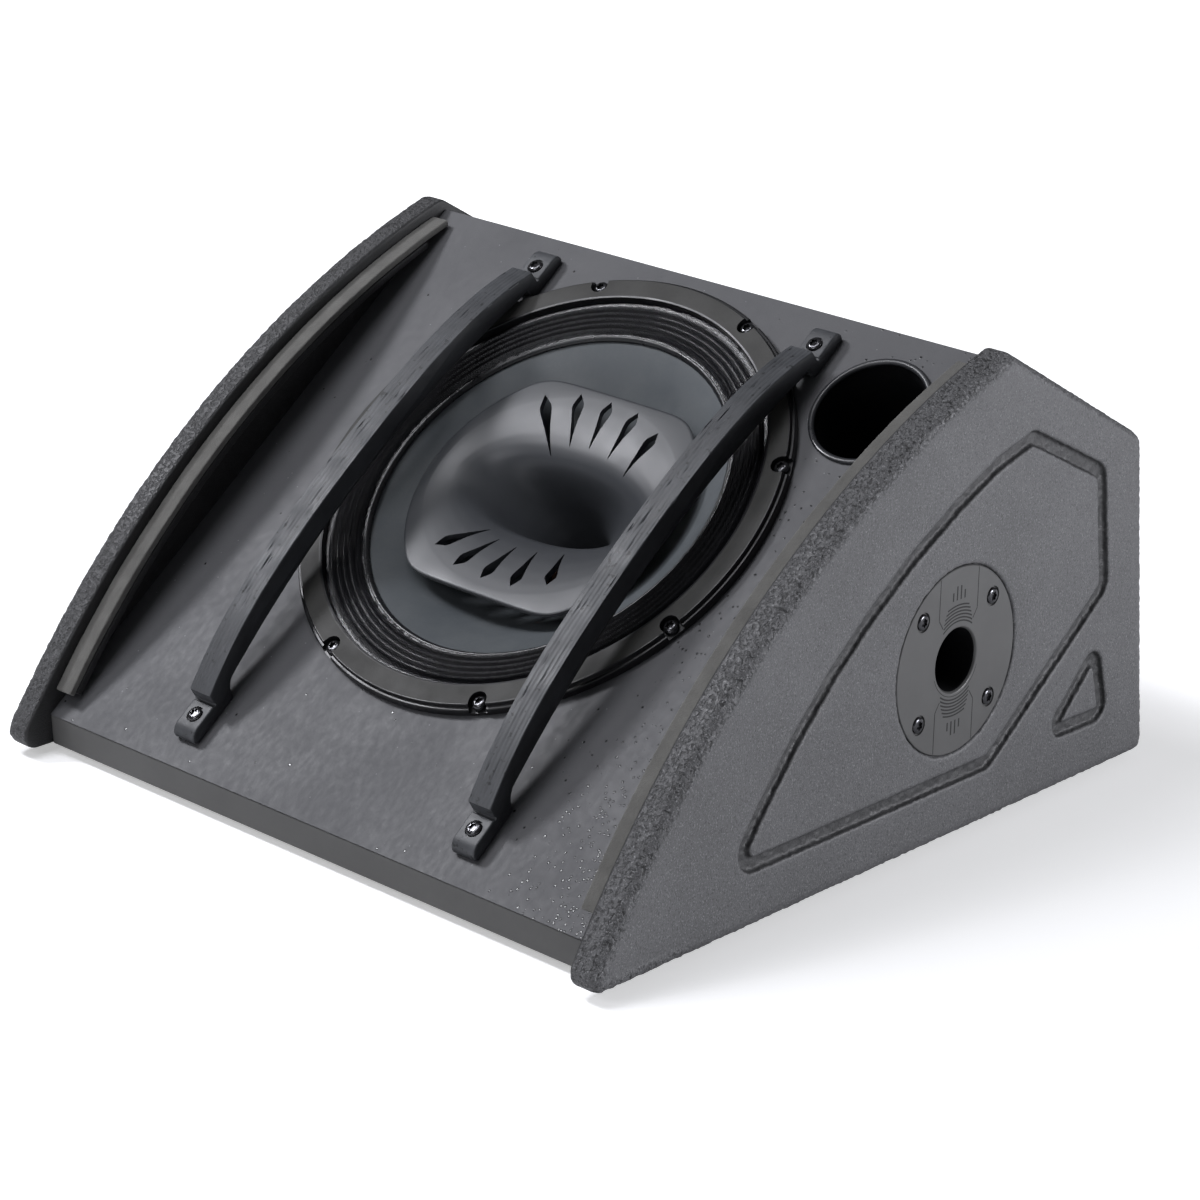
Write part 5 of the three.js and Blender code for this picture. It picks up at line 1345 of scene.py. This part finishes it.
for side in (1, -1):
    mid = side * math.pi / 2
    for k, r in enumerate((23.4, 25.3, 27.2, 29.1, 31.0, 32.9)):
        half = rad(36 - 3.6 * k)
        marks.append(arc_mark(r, 0.9, mid - half, mid + half))
    for k, (u, ln_) in enumerate(((-5.4, 5.0), (-1.8, 8.2), (1.8, 8.2), (5.4, 5.0))):
        marks.append(stroke((u, side * 35.6), (u, side * (35.6 + ln_)), 1.15))
    for u in (-1, 1):
        marks.append(stroke((u * 14.0, side * 21.6), (u * 17.8, side * 27.0), 0.6))
        marks.append(stroke((u * 17.8, side * 27.2), (u * 17.8, side * 51.0), 0.6))
marks.append(arc_mark(21.2, 0.4, rad(200), rad(340)))
obs = []
for poly in marks:
    if sum(a[0] * b[1] - b[0] * a[1] for a, b in zip(poly, poly[1:] + poly[:1])) < 0:
        poly = poly[::-1]
    obs.append(slab("m", poly, face - 0.1, face + 0.03, M=PP))
ob = join("pole_plate_marks", obs)
finish_piece(ob, "pole_plate_metal", [], mat="ink")

for i, (y, z) in enumerate(POLE_SCREWS):
    ob = screw(f"pole_plate_screw_{i + 1}_head", SIDE @ Matrix.Translation((y, z, 0)) @ Matrix.Rotation(0.5 * i, 4, "Z"), 4.7, face + 0.8, 1.8, face - 11.4, 2.0, seg=48)
    finish_piece(ob, "black_screw", [f"pole_plate_screw_{i + 1}"])

# ------------------------------------------------------------------ damping pad: crowned, quilted wadding
pad_lo, pad_hi = [v * 1000 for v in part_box("damping_pad")]
nx, ny = 81, 25
verts, faces = [], []
for s, zb in ((1, pad_hi.z), (0, pad_lo.z)):
    for j in range(ny):
        for i in range(nx):
            fx, fy = i / (nx - 1), j / (ny - 1)
            x_ = pad_lo.x + (pad_hi.x - pad_lo.x) * fx
            y_ = pad_lo.y + (pad_hi.y - pad_lo.y) * fy
            rim = min(1, 6 * min(fx, 1 - fx)) ** 0.5 * min(1, 4 * min(fy, 1 - fy)) ** 0.5
            puff = 0.75 + 0.25 * abs(math.sin(6 * math.pi * fx)) * abs(math.sin(2 * math.pi * fy))
            hz = pad_lo.z + (pad_hi.z - pad_lo.z) * (0.25 + 0.75 * rim * puff) * 0.99 + 0.5 * noise.noise(Vector((x_ * 0.05, y_ * 0.05, 0))) if s else zb
            verts.append((x_, y_, min(hz, pad_hi.z)))
G = nx * ny
for j in range(ny - 1):
    for i in range(nx - 1):
        a = j * nx + i
        faces.append((a, a + 1, a + nx + 1, a + nx))
        faces.append((G + a, G + a + nx, G + a + nx + 1, G + a + 1))
for i in range(nx - 1):
    faces.append((i, G + i, G + i + 1, i + 1))
    a = (ny - 1) * nx + i
    faces.append((a, a + 1, G + a + 1, G + a))
for j in range(ny - 1):
    a = j * nx
    faces.append((a, a + nx, G + a + nx, G + a))
    a = j * nx + nx - 1
    faces.append((a, G + a, G + a + nx, a + nx))
ob = build("damping_pad_wadding", verts, faces, Matrix.Scale(0.001, 4), 80)
finish_piece(ob, "wadding", ["damping_pad"])

# ------------------------------------------------------------------ studio
def plain(name, color, rough=0.9, emit=0.0):
    m = bpy.data.materials.new(name)
    m.use_nodes = True
    b = m.node_tree.nodes["Principled BSDF"]
    b.inputs["Base Color"].default_value = (*color, 1)
    b.inputs["Roughness"].default_value = rough
    b.inputs["Specular IOR Level"].default_value = 0.2
    if emit:
        # Only the camera sees this lift, so the floor reads as white without lighting the object.
        nt = m.node_tree
        lp = nt.nodes.new("ShaderNodeLightPath")
        geo = nt.nodes.new("ShaderNodeNewGeometry")
        far = nt.nodes.new("ShaderNodeVectorMath")
        far.operation = "LENGTH"
        nt.links.new(geo.outputs["Position"], far.inputs[0])
        lift = nt.nodes.new("ShaderNodeMapRange")
        lift.inputs["From Min"].default_value, lift.inputs["From Max"].default_value = 0.55, 1.9
        lift.inputs["To Min"].default_value, lift.inputs["To Max"].default_value = emit, 1.0
        nt.links.new(far.outputs["Value"], lift.inputs["Value"])
        k = nt.nodes.new("ShaderNodeMath")
        k.operation = "MULTIPLY"
        nt.links.new(lift.outputs["Result"], k.inputs[1])
        nt.links.new(lp.outputs["Is Camera Ray"], k.inputs[0])
        b.inputs["Emission Color"].default_value = (1, 1, 1, 1)
        nt.links.new(k.outputs[0], b.inputs["Emission Strength"])
    return m


fme = bpy.data.meshes.new("floor")
fme.from_pydata([(-6, -6, 0), (6, -6, 0), (6, 6, 0), (-6, 6, 0)], [], [(0, 1, 2, 3)])
floor = bpy.data.objects.new("floor", fme)
scene.collection.objects.link(floor)
fme.materials.append(plain("floor_white", (0.93, 0.935, 0.94), emit=0.42))

world = bpy.data.worlds.new("studio")
scene.world = world
world.use_nodes = True
bg = world.node_tree.nodes["Background"]
bg.inputs["Color"].default_value = (0.93, 0.95, 1.0, 1)
bg.inputs["Strength"].default_value = 0.15
# The camera sees plain white behind the floor, while the object gets only the weak ambient light.
wt = world.node_tree
lp_ = wt.nodes.new("ShaderNodeLightPath")
st_ = wt.nodes.new("ShaderNodeMapRange")
st_.inputs["To Min"].default_value, st_.inputs["To Max"].default_value = 0.10, 1.08
wt.links.new(lp_.outputs["Is Camera Ray"], st_.inputs["Value"])
wt.links.new(st_.outputs["Result"], bg.inputs["Strength"])


def area(name, azimuth, elevation, size, power, dist=2.3, target=(0, 0, 0.12), size_y=None):
    """A soft box aimed at the object, placed by its direction from it."""
    l = bpy.data.lights.new(name, "AREA")
    l.energy, l.color = power, (0.985, 0.99, 1.04)
    l.shape = "RECTANGLE"
    l.size, l.size_y = size, size_y or size
    o = bpy.data.objects.new(name, l)
    scene.collection.objects.link(o)
    a_, e_ = rad(azimuth), rad(elevation)
    d_ = Vector((math.cos(a_) * math.cos(e_), math.sin(a_) * math.cos(e_), math.sin(e_)))
    o.location = Vector(target) + d_ * dist
    o.rotation_mode = "QUATERNION"
    o.rotation_quaternion = (-d_).to_track_quat("-Z", "Y")
    return o


area("key", 206, 43, 0.42, 28.0)
area("fill", 232, 60, 0.7, 15.0)
area("front", 262, 30, 0.8, 7.5)
area("right", 28, 10, 0.9, 76.0, 3.2)
area("top", 240, 77, 0.5, 4.5, 2.0, size_y=0.3)

scene.view_settings.view_transform = "Standard"
scene.view_settings.look = "None"
scene.view_settings.exposure = 0.0

# ------------------------------------------------------------------ camera
az, el, roll = rad(41.63), rad(7.63), rad(2.19)
tx, ty, dist, focal = -14.59, -610.85, 2410.09, 4036.92
back_v = np.array((math.sin(az) * math.cos(el), -math.cos(az) * math.cos(el), math.sin(el)))
right_v = np.array((math.cos(az), math.sin(az), 0.0))
up_v = np.cross(back_v, right_v)
r2 = math.cos(roll) * right_v + math.sin(roll) * up_v
u2 = -math.sin(roll) * right_v + math.cos(roll) * up_v
R = np.array([r2, u2, back_v])
C = -R.T @ np.array((tx, ty, -dist))
cam_data = bpy.data.cameras.new("camera")
cam = bpy.data.objects.new("camera", cam_data)
scene.collection.objects.link(cam)
mw = Matrix.Identity(4)
for i in range(3):
    mw[i][0], mw[i][1], mw[i][2] = r2[i], u2[i], back_v[i]
mw.translation = Vector(C + np.array((0, -CENTRE_Y, FOOT_H))) * 0.001
cam.matrix_world = mw
cam_data.sensor_width, cam_data.lens = 36.0, focal * 36.0 / 1200.0
cam_data.shift_x = 0.0
# The lens is shifted only while the camera stands at this spot; moved elsewhere, it looks straight ahead.
spot = bpy.data.objects.new("camera_spot", None)
scene.collection.objects.link(spot)
spot.location = mw.translation
spot.hide_render = True
shift_curve = cam_data.driver_add("shift_y")
for m_ in list(shift_curve.modifiers):
    shift_curve.modifiers.remove(m_)
shift_curve.driver.type = "SUM"
var = shift_curve.driver.variables.new()
var.type = "LOC_DIFF"
var.targets[0].id, var.targets[1].id = cam, spot
for x_, y_ in ((0.0, (-275.1 - 600.0) / 1200.0), (0.05, (-275.1 - 600.0) / 1200.0), (0.1, 0.0), (100.0, 0.0)):
    k_ = shift_curve.keyframe_points.insert(x_, y_)
    k_.interpolation = "LINEAR"
shift_curve.extrapolation = "CONSTANT"
cam_data.clip_start, cam_data.clip_end = 0.1, 50.0
scene.camera = cam

bpy.context.view_layer.update()
